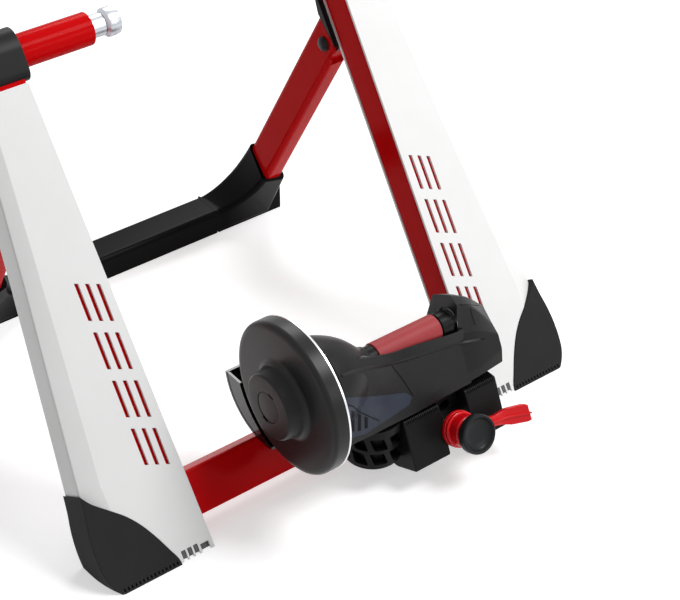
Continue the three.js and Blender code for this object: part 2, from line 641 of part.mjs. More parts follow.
function buildSpindles() {
  const neck = CUP_FACE_X + CUP_LENGTH;
  const nose = CUP_FACE_X + CUP_RECESS_DEPTH + COVER_WALL;
  const spindle = (shoulder, radius, end) => solid(atClamp(turnedX([[0, nose], [SPINDLE_NOSE, nose],
    [SPINDLE_NOSE, neck + GAP], [SPINDLE_RADIUS, neck + GAP], [SPINDLE_RADIUS, shoulder], [radius, shoulder],
    ...end], 28)));
  const cup = solid(atClamp(turnedX([[SPINDLE_NOSE + GAP, neck], [SPINDLE_NOSE + GAP, CUP_FACE_X + CUP_RECESS_DEPTH],
    [CUP_RECESS_RADIUS, CUP_FACE_X], [CUP_RADIUS * 0.9, CUP_FACE_X], [CUP_RADIUS, CUP_FACE_X + CUP_RECESS_DEPTH],
    [CUP_RADIUS, neck - COVER_WALL], [SPINDLE_RADIUS, neck], [SPINDLE_NOSE + GAP, neck]], 28)));
  pair('axle_cup', cup, zincSteel, legFrame);
  const threaded = HEAD_OUTER_X + NUT_LENGTH + SPINDLE_TAIL;
  const flatEnd = [[SPINDLE_RADIUS - GAP, threaded], [0, threaded]];
  piece('spindle_right', spindle(threaded - GAP, SPINDLE_RADIUS - GAP, flatEnd), zincSteel, legFrame);
  const domeEnd = [[SPINDLE_NECK_RADIUS, HEAD_OUTER_X - GAP - SPINDLE_TIP_RADIUS],
    ...tipShares.map(([radius, depth]) => [radius * SPINDLE_TIP_RADIUS, HEAD_OUTER_X - GAP - depth * SPINDLE_TIP_RADIUS])];
  const pushed = spindle(HEAD_OUTER_X - SPINDLE_NECK_LENGTH, SPINDLE_NECK_RADIUS, domeEnd);
  piece('spindle_left', mirrored(pushed), zincSteel, legFrame);

  const lobes = [];
  for (let i = 0; i < NUT_LOBES * 4; i += 1) {
    const angle = (i * TURN) / (NUT_LOBES * 4);
    const radius = NUT_RADIUS - (i % 4 === 2 ? NUT_LOBE_DEPTH : 0);
    lobes.push(corner(radius * Math.cos(angle), radius * Math.sin(angle)));
  }
  const outline = roundedOutline(lobes, NUT_LOBE_DEPTH);
  const hole = new THREE.Path().absarc(0, 0, SPINDLE_RADIUS + 2 * GAP, 0, TURN);
  outline.holes.push(hole);
  const nut = slabX(outline, HEAD_OUTER_X + GAP, HEAD_OUTER_X + GAP + NUT_LENGTH, 0, 8);
  piece('ring_nut', solid(atClamp(nut)), blackPlastic, legFrame);
}

// Quick lever of the left clamp: its cam is a spiral, so that the spindle moves evenly with the lever
function buildQuickLever() {
  const points = [];
  const steps = 16;
  for (let i = 0; i <= steps; i += 1) {
    const angle = -(CAM_SWING * i) / steps;
    const radius = CAM_HIGH - ((CAM_HIGH - CAM_LOW) * i) / steps - GAP;
    points.push(corner(radius * Math.cos(angle), radius * Math.sin(angle)));
  }
  for (let i = 1; i < steps; i += 1) {
    const share = i / steps;
    const angle = -CAM_SWING - (TURN - CAM_SWING - Math.PI / 2) * share;
    points.push(corner((CAM_LOW + GAP) * Math.cos(angle), (CAM_LOW + GAP) * Math.sin(angle)));
  }
  points.push(corner(0, CAM_LOW * 1.4), corner(CAM_HIGH * 0.72, CAM_HIGH * 0.66));
  const cam = solid(slabZ(roundedOutline(points, 0), -CAM_WIDTH / 2, CAM_WIDTH / 2));
  const arm = solid(slabZ(roundedOutline([corner(-CAM_LOW, 0), corner(CAM_LOW * 0.8, 0),
    corner(LEVER_WIDTH_TIP * 0.2, LEVER_LENGTH * 0.5), corner(LEVER_WIDTH_TIP * 0.5, LEVER_LENGTH),
    corner(-LEVER_WIDTH_TIP * 0.5, LEVER_LENGTH), corner(-LEVER_WIDTH_TIP, LEVER_LENGTH * 0.5)], LEVER_WIDTH_TIP * 0.4),
  -LEVER_THICKNESS / 2, LEVER_THICKNESS / 2, COVER_WALL / 2));
  const hole = solid(new THREE.CylinderGeometry(CAM_PIN_RADIUS + GAP, CAM_PIN_RADIUS + GAP, WIDE, 20).rotateX(Math.PI / 2));
  const lever = joined([cam, arm]).subtract(hole);
  const placed = (part) => {
    const node = piece(part.name, part.solid, part.material, legFrame);
    node.position.set(-(HEAD_OUTER_X + CAM_HIGH), CLAMP_THROUGH, CLAMP_ALONG);
  };
  placed({ name: 'quick_lever', solid: lever, material: redPlastic });
  const half = CAM_WIDTH / 2 + GAP + FORK_EAR;
  const pin = new THREE.CylinderGeometry(CAM_PIN_RADIUS, CAM_PIN_RADIUS, 2 * half + CAM_PIN_RADIUS, 20).rotateX(Math.PI / 2);
  placed({ name: 'lever_pin', solid: solid(pin), material: zincSteel });
}

// Front frame hinge: a wedge on the leg, and a tongue inside the end of the front tube
function buildHinges() {
  const face = COVER_DEPTH + GAP;
  const tongueX = [FRONT_MIDDLE_X - TONGUE_WIDTH / 2, FRONT_MIDDLE_X + TONGUE_WIDTH / 2];
  const tongue = solid(slabX(roundedOutline([corner(face, BOLT_ALONG - TONGUE_REACH_DOWN),
    corner(BOLT_THROUGH, BOLT_ALONG - TONGUE_RADIUS), corner(BOLT_THROUGH + TONGUE_RADIUS, BOLT_ALONG - TONGUE_RADIUS),
    corner(BOLT_THROUGH + TONGUE_RADIUS, BOLT_ALONG + TONGUE_RADIUS * 0.8),
    corner(BOLT_THROUGH - TONGUE_RADIUS * 0.5, BOLT_ALONG + TONGUE_RADIUS), corner(face, BOLT_ALONG + WEDGE_WIDEST)],
  TONGUE_RADIUS * 0.8), ...tongueX));
  const wedge = solid(slabX(roundedOutline([corner(face, BOLT_ALONG - WEDGE_LOW), corner(face + WEDGE_THICKNESS, BOLT_ALONG + WEDGE_WIDEST),
    corner(face, BOLT_ALONG + WEDGE_TOP)], 0), FRONT_MIDDLE_X - FRONT_TUBE_WIDTH / 2, FRONT_MIDDLE_X + FRONT_TUBE_WIDTH / 2));
  const hole = solid(rodX(BOLT_RADIUS + GAP, 0, WIDE).translate(0, BOLT_THROUGH, BOLT_ALONG));
  const sweep = solid(rodX(FRONT_END_SWEEP + 2 * GAP, 0, WIDE, 48).translate(0, BOLT_THROUGH, BOLT_ALONG));
  pair('hinge_bracket', joined([tongue, wedge.subtract(sweep)]).subtract(hole), blackSteel, legFrame);

  const innerX = FRONT_MIDDLE_X - FRONT_TUBE_WIDTH / 2;
  const outerX = FRONT_MIDDLE_X + FRONT_TUBE_WIDTH / 2;
  const domeShares = [[0, 1], [0.42, 0.97], [0.75, 0.82], [0.94, 0.5], [1, 0.16]];
  const bolt = turnedX([...domeShares.map(([radius, height]) => [BOLT_HEAD_RADIUS * radius, innerX - BOLT_HEAD_HEIGHT * height]),
    [BOLT_HEAD_RADIUS, innerX - GAP], [BOLT_RADIUS, innerX - GAP],
    [BOLT_RADIUS, outerX + NUT_HEX_HEIGHT + GAP * 2], [0, outerX + NUT_HEX_HEIGHT + GAP * 2]], 24)
    .translate(0, BOLT_THROUGH, BOLT_ALONG);
  pair('pivot_bolt', solid(bolt), blackSteel, legFrame);
  const hex = solid(rodX(NUT_HEX_RADIUS, outerX + GAP, outerX + GAP + NUT_HEX_HEIGHT, 6)
    .translate(0, BOLT_THROUGH, BOLT_ALONG));
  pair('pivot_nut', hex.subtract(hole), zincSteel, legFrame);
}

// Front frame, drawn about the hinge axis with z up its legs, then leaned back
const boltPlace = toWorld(BOLT_THROUGH, BOLT_ALONG);
const frontFrame = new THREE.Group();
frontFrame.position.set(0, boltPlace.x, boltPlace.y);
frontFrame.rotation.x = FRONT_LEAN;
trainer.add(frontFrame);
const frontInnerX = FRONT_MIDDLE_X - FRONT_TUBE_WIDTH / 2;
const frontOuterX = FRONT_MIDDLE_X + FRONT_TUBE_WIDTH / 2;
const frontTubeLength = boltPlace.y / Math.cos(FRONT_LEAN) - FRONT_TUBE_OFF_FLOOR;
const toFront = (geometry) => geometry.translate(0, -boltPlace.x, -boltPlace.y).rotateX(-FRONT_LEAN);

function buildFrontLegs() {
  const outline = tubeOutline([frontInnerX, frontOuterX], [-FRONT_TUBE_REAR, FRONT_TUBE_FRONT], FRONT_TUBE_CORNER);
  const tube = solid(slabZ(outline, -frontTubeLength, FRONT_END_FRONT));
  const round = new THREE.Shape();
  round.moveTo(-FRONT_TUBE_REAR - OVERRUN, -(FRONT_TUBE_REAR + OVERRUN) * Math.tan(FRONT_END_SWEEP_START));
  round.lineTo(FRONT_END_SWEEP * Math.cos(FRONT_END_SWEEP_START), FRONT_END_SWEEP * Math.sin(FRONT_END_SWEEP_START));
  round.absarc(0, 0, FRONT_END_SWEEP, FRONT_END_SWEEP_START, FRONT_END_SWEEP_END, true);
  round.lineTo(-FRONT_TUBE_REAR, FRONT_END_FRONT + OVERRUN);
  round.lineTo(-FRONT_TUBE_REAR - OVERRUN, FRONT_END_FRONT + OVERRUN);
  round.closePath();
  const across = (shape) => solid(slabX(shape, frontInnerX - OVERRUN, frontOuterX + OVERRUN, 0, 10));
  const slope = (FRONT_END_FRONT - FRONT_END_REAR) / (FRONT_TUBE_FRONT + FRONT_TUBE_REAR);
  const end = roundedOutline([corner(-FRONT_TUBE_REAR - OVERRUN, FRONT_END_REAR - OVERRUN * slope),
    corner(FRONT_TUBE_FRONT + OVERRUN, FRONT_END_FRONT + OVERRUN * slope),
    corner(FRONT_TUBE_FRONT, FRONT_END_FRONT + 2 * OVERRUN), corner(-FRONT_TUBE_REAR - OVERRUN, FRONT_END_FRONT + 2 * OVERRUN)], 0);
  const slotHalf = TONGUE_WIDTH / 2 + GAP * 2;
  const notch = solid(box(FRONT_MIDDLE_X - slotHalf, FRONT_MIDDLE_X + slotHalf, -FRONT_TUBE_REAR - OVERRUN,
    -FRONT_TUBE_REAR + 2 * TUBE_WALL, -FRONT_NOTCH_DEPTH, FRONT_END_FRONT + OVERRUN));
  const hole = solid(rodX(BOLT_RADIUS + GAP, 0, WIDE));
  pair('front_leg', cut(tube, [across(round), across(end), notch, hole]), redPaint, frontFrame);
}

// Elbow: a sleeve on the front leg that sweeps into the ground bar and ends in a stub foot
const barCentre = corner(
  boltPlace.x + Math.tan(FRONT_LEAN) * (boltPlace.y - BAR_HEIGHT / 2),
  BAR_HEIGHT / 2);

function barOutline(wall) {
  const half = corner(BAR_WIDTH / 2 - wall, BAR_HEIGHT / 2 - wall);
  return roundedOutline(rectangle(barCentre.x - half.x, barCentre.x + half.x, barCentre.y - half.y, barCentre.y + half.y),
    BAR_CORNER - wall);
}

function buildElbows() {
  const stub = solid(toFront(slabX(barOutline(0), BAR_JOINT_X, BAR_END_X, COVER_WALL)));
  const sleeveX0 = frontInnerX - ELBOW_WALL;
  const sleeveX1 = frontOuterX + ELBOW_WALL;
  const legEnd = -frontTubeLength;
  const floorAlong = -boltPlace.y / Math.cos(FRONT_LEAN);
  const web = new THREE.Shape();
  const rise = legEnd + FRONT_TUBE_SLEEVED;
  const barTop = floorAlong + BAR_HEIGHT;
  web.moveTo(sleeveX0, rise);
  web.quadraticCurveTo(sleeveX0 - ELBOW_WALL, barTop + BAR_HEIGHT * 0.4, sleeveX0 - ELBOW_GUSSET, barTop);
  web.lineTo(sleeveX0 - ELBOW_GUSSET, floorAlong);
  web.lineTo(sleeveX1, floorAlong);
  web.lineTo(sleeveX1 + ELBOW_WALL, barTop);
  web.lineTo(sleeveX1, rise);
  web.closePath();
  const sleeve = solid(slabY(web, -FRONT_TUBE_REAR - ELBOW_WALL, FRONT_TUBE_FRONT + ELBOW_WALL, COVER_WALL, 8));
  const socket = solid(slabZ(roundedOutline(rectangle(frontInnerX - GAP, frontOuterX + GAP,
    -FRONT_TUBE_REAR - GAP, FRONT_TUBE_FRONT + GAP), FRONT_TUBE_CORNER), legEnd - GAP, OVERRUN));
  const above = solid(box(-WIDE, WIDE, -WIDE, WIDE, 0, WIDE).rotateX(Math.atan(ELBOW_TOP_SLOPE))
    .translate(0, FRONT_TUBE_FRONT, rise));
  const floor = solid(toFront(box(-WIDE, WIDE, -WIDE, 2 * WIDE, -WIDE, 0)));
  const spigotHole = solid(toFront(slabX(barOutline(BAR_WALL), BAR_JOINT_X - OVERRUN, BAR_JOINT_X + BAR_SPIGOT + GAP)));
  const elbow = cut(joined([stub, sleeve.subtract(above)]), [socket, floor, spigotHole]);
  pair('elbow', elbow, blackPlastic, frontFrame);
  const body = solid(toFront(slabX(barOutline(0), -BAR_JOINT_X + GAP, BAR_JOINT_X - GAP)));
  const spigot = solid(toFront(slabX(barOutline(BAR_WALL + GAP), -BAR_JOINT_X - BAR_SPIGOT, BAR_JOINT_X + BAR_SPIGOT)));
  piece('front_bar', body.add(spigot), blackPlastic, frontFrame);
}

// Carrier: saddle over the cross tube, two ribbed cheeks and the tilt pin
const cheekLeft = [CARRIER_LEFT_X, CARRIER_LEFT_X + CHEEK_LEFT_WIDTH];
const cheekRight = [CARRIER_RIGHT_X - CHEEK_RIGHT_WIDTH, CARRIER_RIGHT_X];
const carrierRear = CROSS_REAR - GAP - SADDLE_WALL;

function cheekOutline() {
  const rearLow = corner(CHEEK_TOP_Y - CHEEK_REAR_HEIGHT * Math.sin(CHEEK_LEAN),
    CHEEK_TOP_Z - CHEEK_REAR_HEIGHT * Math.cos(CHEEK_LEAN));
  const under = corner(rearLow.x + CHEEK_UNDER_LENGTH * Math.cos(CHEEK_LEAN), CHEEK_UNDER_Z);
  const seatLow = toWorld(carrierRear - GAP, CROSS_LOW - SADDLE_RISE);
  const seatHigh = toWorld(carrierRear - GAP, CROSS_LOW + CROSS_HEIGHT - SADDLE_RISE);
  return [corner(CHEEK_TOP_Y, CHEEK_TOP_Z), rearLow, under, corner(CHEEK_FRONT_Y, CHEEK_UNDER_Z), seatLow, seatHigh,
    corner(CHEEK_TOP_FRONT_Y, CHEEK_TOP_Z)];
}

function ribbedCheek([x0, x1]) {
  const body = solid(slabX(roundedOutline(cheekOutline(), CHEEK_CORNER), x0, x1, CHEEK_CORNER / 2));
  const grooves = [];
  for (let x = x0 + RIB_STEP; x + RIB_WIDTH < x1 - RIB_STEP / 2; x += RIB_STEP) {
    grooves.push(solid(box(x, x + RIB_WIDTH, CHEEK_TOP_Y - OVERRUN, CHEEK_TOP_Y + RIB_LENGTH,
      CHEEK_TOP_Z - RIB_DEPTH, CHEEK_TOP_Z + OVERRUN)));
  }
  return cut(body, grooves);
}

function buildCarrier() {
  const top = CROSS_LOW + CROSS_HEIGHT + GAP;
  const front = CROSS_REAR + CROSS_DEPTH + GAP;
  const strap = [corner(carrierRear, CROSS_LOW - SADDLE_RISE), corner(CROSS_REAR - GAP, CROSS_LOW - SADDLE_RISE),
    corner(CROSS_REAR - GAP, top), corner(front, top), corner(front, top - SADDLE_LIP),
    corner(front + SADDLE_WALL, top - SADDLE_LIP), corner(front + SADDLE_WALL, top + SADDLE_WALL),
    corner(carrierRear, top + SADDLE_WALL)];
  const toCarrier = (geometry) => geometry.rotateX(-LEG_LEAN);
  const saddle = solid(toCarrier(slabX(roundedOutline(strap, 0), CARRIER_LEFT_X, CARRIER_RIGHT_X)));
  const pin = toLeg(TILT_PIN_Y, TILT_PIN_Z);
  const earShape = () => roundedOutline([corner(pin.x - EAR_RADIUS, top), corner(pin.x + EAR_RADIUS * 1.8, top),
    corner(pin.x + EAR_RADIUS, pin.y + EAR_RADIUS), corner(pin.x - EAR_RADIUS, pin.y + EAR_RADIUS)], EAR_RADIUS * 0.8);
  const ear = (x0) => solid(toCarrier(slabX(earShape(), x0, x0 + EAR_THICKNESS)));
  const webGap = GAP;
  const webTop = CHEEK_TOP_Z - GAP;
  const seatHigh = toWorld(carrierRear + SADDLE_WALL / 2, CROSS_LOW + CROSS_HEIGHT - SADDLE_RISE);
  const seatLow = toWorld(carrierRear + SADDLE_WALL / 2, CROSS_LOW + SADDLE_NOTCH);
  const web = solid(slabX(roundedOutline([corner(WEB_REAR_Y, webTop), corner(WEB_REAR_Y, WEB_UNDER_Z), seatLow, seatHigh,
    corner(CHEEK_TOP_FRONT_Y, webTop)], 0), cheekLeft[1] + webGap, cheekRight[0] - webGap));
  const recess = solid(new THREE.CylinderGeometry(WEB_RECESS_RADIUS, WEB_RECESS_RADIUS, 2 * WEB_RECESS_DEPTH, 24)
    .translate((cheekLeft[1] + cheekRight[0]) / 2, WEB_REAR_Y, WEB_RECESS_Z));
  const pinHole = solid(rodX(TILT_PIN_RADIUS + GAP, 0, WIDE).translate(0, TILT_PIN_Y, TILT_PIN_Z));
  const notch = solid(toCarrier(box(ROD_X - HOOK_WIDTH / 2 - GAP * 2, ROD_X + HOOK_WIDTH / 2 + GAP * 2,
    -OVERRUN, CROSS_REAR, 0, CROSS_LOW)));
  const body = joined([saddle, ear(CARRIER_LEFT_X), ear(CARRIER_RIGHT_X - EAR_THICKNESS), web]);
  piece('carrier_saddle', cut(body, [recess, pinHole, notch]), blackPlastic, trainer);
  piece('cheek_left', ribbedCheek(cheekLeft), blackPlastic, trainer);
  piece('cheek_right', ribbedCheek(cheekRight), blackPlastic, trainer);

  const pinStart = CARRIER_LEFT_X - GAP;
  const pinEnd = CARRIER_RIGHT_X + TILT_PIN_HEAD_LENGTH;
  const tiltPin = turnedX([[0, pinStart - TILT_PIN_HEAD_LENGTH], [TILT_PIN_HEAD, pinStart - TILT_PIN_HEAD_LENGTH],
    [TILT_PIN_HEAD, pinStart], [TILT_PIN_RADIUS, pinStart], [TILT_PIN_RADIUS, pinEnd], [0, pinEnd]], 20)
    .translate(0, TILT_PIN_Y, TILT_PIN_Z);
  piece('tilt_pin', solid(tiltPin), zincSteel, trainer);
}

// Quick clamp, drawn with +X along the rod towards the front and z up the cheek faces
const rodSeat = corner(CHEEK_TOP_Y - ROD_BELOW_TOP * Math.sin(CHEEK_LEAN), CHEEK_TOP_Z - ROD_BELOW_TOP * Math.cos(CHEEK_LEAN));
const clampFrame = new THREE.Group();
clampFrame.position.set(ROD_X, rodSeat.x, rodSeat.y);
clampFrame.rotation.x = -CHEEK_LEAN;
trainer.add(clampFrame);
// turned pieces about the rod: pairs of radius and distance behind the cheek faces
function turnedOnRod(profile, segments = 32) {
  const points = profile.map(([radius, behind]) => corner(radius, -behind));
  return new THREE.LatheGeometry(points.reverse(), segments);
}

function buildClamp() {
  piece('clamp_rod', solid(turnedOnRod([[0, -ROD_FRONT], [ROD_RADIUS, -ROD_FRONT], [ROD_RADIUS, ROD_BACK], [0, ROD_BACK]], 20)),
    zincSteel, clampFrame);

  const low = CROSS_LOW - HOOK_DROP;
  const front = CROSS_REAR + CROSS_DEPTH + GAP;
  const rodTip = toLeg(rodSeat.x + ROD_FRONT * Math.cos(CHEEK_LEAN), rodSeat.y - ROD_FRONT * Math.sin(CHEEK_LEAN));
  const plate = [corner(rodTip.x - HOOK_REAR, low - HOOK_BOSS), corner(rodTip.x + HOOK_PLATE, low - HOOK_BOSS),
    corner(rodTip.x + HOOK_PLATE, low - HOOK_PLATE), corner(front + HOOK_PLATE, low - HOOK_PLATE),
    corner(front + HOOK_PLATE, low + HOOK_LIP), corner(front, low + HOOK_LIP), corner(front, low),
    corner(rodTip.x - HOOK_REAR, low)];
  const strap = solid(slabX(roundedOutline(plate, 0), ROD_X - HOOK_WIDTH / 2, ROD_X + HOOK_WIDTH / 2).rotateX(-LEG_LEAN)
    .translate(-ROD_X, -rodSeat.x, -rodSeat.y).rotateX(CHEEK_LEAN));
  const rodHole = solid(turnedOnRod([[0, -ROD_FRONT - GAP], [ROD_RADIUS + GAP, -ROD_FRONT - GAP],
    [ROD_RADIUS + GAP, 0], [0, 0]], 20));
  piece('clamp_hook', strap.subtract(rodHole), blackSteel, clampFrame);

  const seat = turnedOnRod([[COLLAR_BORE, GAP], [COLLAR_SEAT_RADIUS, GAP], [COLLAR_SEAT_RADIUS, COLLAR_SEAT_LENGTH],
    [COLLAR_BORE, COLLAR_SEAT_LENGTH], [COLLAR_BORE, GAP]], 40);
  piece('cam_seat', solid(seat), redPlastic, clampFrame);

  const start = COLLAR_SEAT_LENGTH + GAP;
  const collar = solid(turnedOnRod([[COLLAR_BORE, start], [COLLAR_FLANGE_RADIUS, start],
    [COLLAR_FLANGE_RADIUS, start + COLLAR_FLANGE_LENGTH], [COLLAR_RADIUS, start + COLLAR_FLANGE_LENGTH + 1.5 * GAP],
    [COLLAR_RADIUS, COLLAR_LENGTH - COLLAR_FLANGE_LENGTH / 2], [COLLAR_RADIUS * 0.9, COLLAR_LENGTH],
    [COLLAR_BORE, COLLAR_LENGTH], [COLLAR_BORE, start]], 40));
  const reach = CAM_LEVER_REACH;
  const blade = [corner(0, -CAM_LEVER_ROOT), corner(reach * 0.3, -CAM_LEVER_ROOT * 0.9), corner(reach * 0.52, -CAM_LEVER_WAIST),
    corner(reach * 0.72, -CAM_LEVER_PADDLE), corner(reach * 0.95, -CAM_LEVER_PADDLE), corner(reach, 0),
    corner(reach * 0.92, CAM_LEVER_PADDLE), corner(reach * 0.62, CAM_LEVER_PADDLE), corner(reach * 0.45, CAM_LEVER_WAIST),
    corner(reach * 0.25, CAM_LEVER_ROOT), corner(0, CAM_LEVER_ROOT)];
  const arm = solid(slabY(roundedOutline(blade, CAM_LEVER_WAIST), -CAM_LEVER_THICKNESS / 2, CAM_LEVER_THICKNESS / 2,
    CAM_LEVER_THICKNESS * 0.25).translate(0, -CAM_LEVER_OFFSET - CAM_LEVER_THICKNESS / 2, 0));
  const bore = solid(turnedOnRod([[0, -OVERRUN], [COLLAR_BORE, -OVERRUN], [COLLAR_BORE, 2 * OVERRUN], [0, 2 * OVERRUN]], 20));
  const lever = piece('cam_lever', joined([collar, arm]).subtract(bore), redPlastic, clampFrame);
  lever.rotation.y = -CAM_LEVER_TURN;

  const end = KNOB_START + KNOB_LENGTH;
  const knob = turnedOnRod([[0, ROD_BACK + GAP], [ROD_RADIUS + GAP, ROD_BACK + GAP], [ROD_RADIUS + GAP, KNOB_START],
    [KNOB_NECK, KNOB_START], [KNOB_NECK * 1.1, KNOB_START + KNOB_LENGTH - KNOB_RIM - KNOB_EDGE],
    [KNOB_RADIUS - KNOB_EDGE, end - KNOB_RIM - KNOB_EDGE / 2], [KNOB_RADIUS, end - KNOB_RIM + KNOB_EDGE], [KNOB_RADIUS, end - KNOB_EDGE],
    [KNOB_RADIUS - KNOB_EDGE, end], [KNOB_DISH_RADIUS, end], [KNOB_DISH_RADIUS * 0.8, end - KNOB_DISH_DEPTH * 0.7],
    [KNOB_DISH_RADIUS * 0.4, end - KNOB_DISH_DEPTH], [0, end - KNOB_DISH_DEPTH]], 40);
  piece('knob', solid(knob), blackPlastic, clampFrame);
}

// Resistance unit, drawn about the roller axis
const unit = new THREE.Group();
unit.position.set(0, ROLLER_Y, ROLLER_Z);
trainer.add(unit);

function sectionRings(sectionShares) {
  return sectionShares.map(([x, ...points]) => points
    .map(([y, z]) => new THREE.Vector3(x, y, z).multiplyScalar(SHELL_UNIT)));
}

function buildHousing() {
  const body = solid(loft(sectionRings(bodySectionShares)));
  const tower = solid(loft(sectionRings(towerSectionShares)));
  const bellLength = ROLLER_START_X - COLLAR_RING_LENGTH - GAP - HOUSING_LEFT_X;
  const bell = solid(turnedX([[0, HOUSING_LEFT_X], ...bellShares.map(([x, r]) => [r * SHELL_UNIT, HOUSING_LEFT_X + x * bellLength]),
    [0, HOUSING_LEFT_X + bellLength]], 40));
  const trough = solid(rodX(TROUGH_RADIUS, ROLLER_START_X - COLLAR_RING_LENGTH - GAP, TOWER_X, 32));
  const bearingSeat = solid(joinedRods([[BEARING_RADIUS + GAP, BEARING_LEFT_X - GAP, ROLLER_START_X],
    [BEARING_RADIUS + GAP, TOWER_X - OVERRUN, BEARING_RIGHT_X + BEARING_WIDTH + GAP]]));
  const bore = solid(rodX(BORE_RADIUS, HOUSING_LEFT_X - OVERRUN, SHAFT_END_X + OVERRUN / 4, 24));
  const lugAt = (x0) => {
    const pin = corner(TILT_PIN_Y - ROLLER_Y, TILT_PIN_Z - ROLLER_Z);
    const outline = roundedOutline([corner(pin.x - LUG_RADIUS * 5, pin.y + LUG_RADIUS * 0.6), corner(pin.x, pin.y - LUG_RADIUS),
      corner(pin.x + LUG_RADIUS, pin.y - LUG_RADIUS), corner(pin.x + LUG_RADIUS, pin.y + LUG_RADIUS),
      corner(pin.x - LUG_RADIUS * 5, pin.y + LUG_RADIUS * 4)], LUG_RADIUS * 0.9);
    const hole = solid(rodX(TILT_PIN_RADIUS + GAP, x0 - OVERRUN, x0 + OVERRUN).translate(0, pin.x, pin.y));
    return solid(slabX(outline, x0, x0 + LUG_THICKNESS)).subtract(hole);
  };
  const lugs = joined([lugAt(CARRIER_LEFT_X + EAR_THICKNESS + GAP), lugAt(CARRIER_RIGHT_X - EAR_THICKNESS - GAP - LUG_THICKNESS)]);
  const whole = cut(joined([body, tower, bell, lugs]), [trough, bearingSeat, bore]);
  const beyondSeam = (y) => solid(box(-WIDE, WIDE, y, WIDE, -WIDE, WIDE));
  piece('housing', whole.subtract(beyondSeam(SEAM_Y - SEAM_GAP / 2)), blackPlastic, unit);
  piece('front_cover', whole.intersect(beyondSeam(SEAM_Y + SEAM_GAP / 2)), blackPlastic, unit);

  const drum = solid(slabZ(ribbedDrumOutline(), DRUM_LOW_Z - ROLLER_Z, DRUM_HIGH_Z - ROLLER_Z));
  const beyond = solid(box(DRUM_CUT_X, WIDE, -WIDE, WIDE, -WIDE, WIDE));
  piece('drum', drum.subtract(beyond), blackPlastic, unit);
}

function joinedRods(list) {
  const parts = list.map(([radius, x0, x1]) => rodX(radius, x0, x1, 28).toNonIndexed());
  const positions = parts.flatMap((part) => [...part.attributes.position.array]);
  const geometry = new THREE.BufferGeometry();
  geometry.setAttribute('position', new THREE.BufferAttribute(new Float32Array(positions), 3));
  return geometry;
}

function ribbedDrumOutline() {
  const points = [];
  for (let i = 0; i < DRUM_RIBS * DRUM_RIB_STEPS; i += 1) {
    const angle = (i * TURN) / (DRUM_RIBS * DRUM_RIB_STEPS);
    const radius = DRUM_RADIUS - (i % (DRUM_RIB_STEPS / 2) < DRUM_RIB_STEPS / 4 ? 0 : DRUM_RIB_DEPTH);
    points.push(corner(DRUM_X + radius * Math.cos(angle), DRUM_Y - ROLLER_Y + radius * Math.sin(angle)));
  }
  const outline = roundedOutline(points, 0);
  outline.holes.push(new THREE.Path().absarc(DRUM_X, DRUM_Y - ROLLER_Y, DRUM_RADIUS - DRUM_RIB_DEPTH - DRUM_WALL, 0, TURN));
  return outline;
}

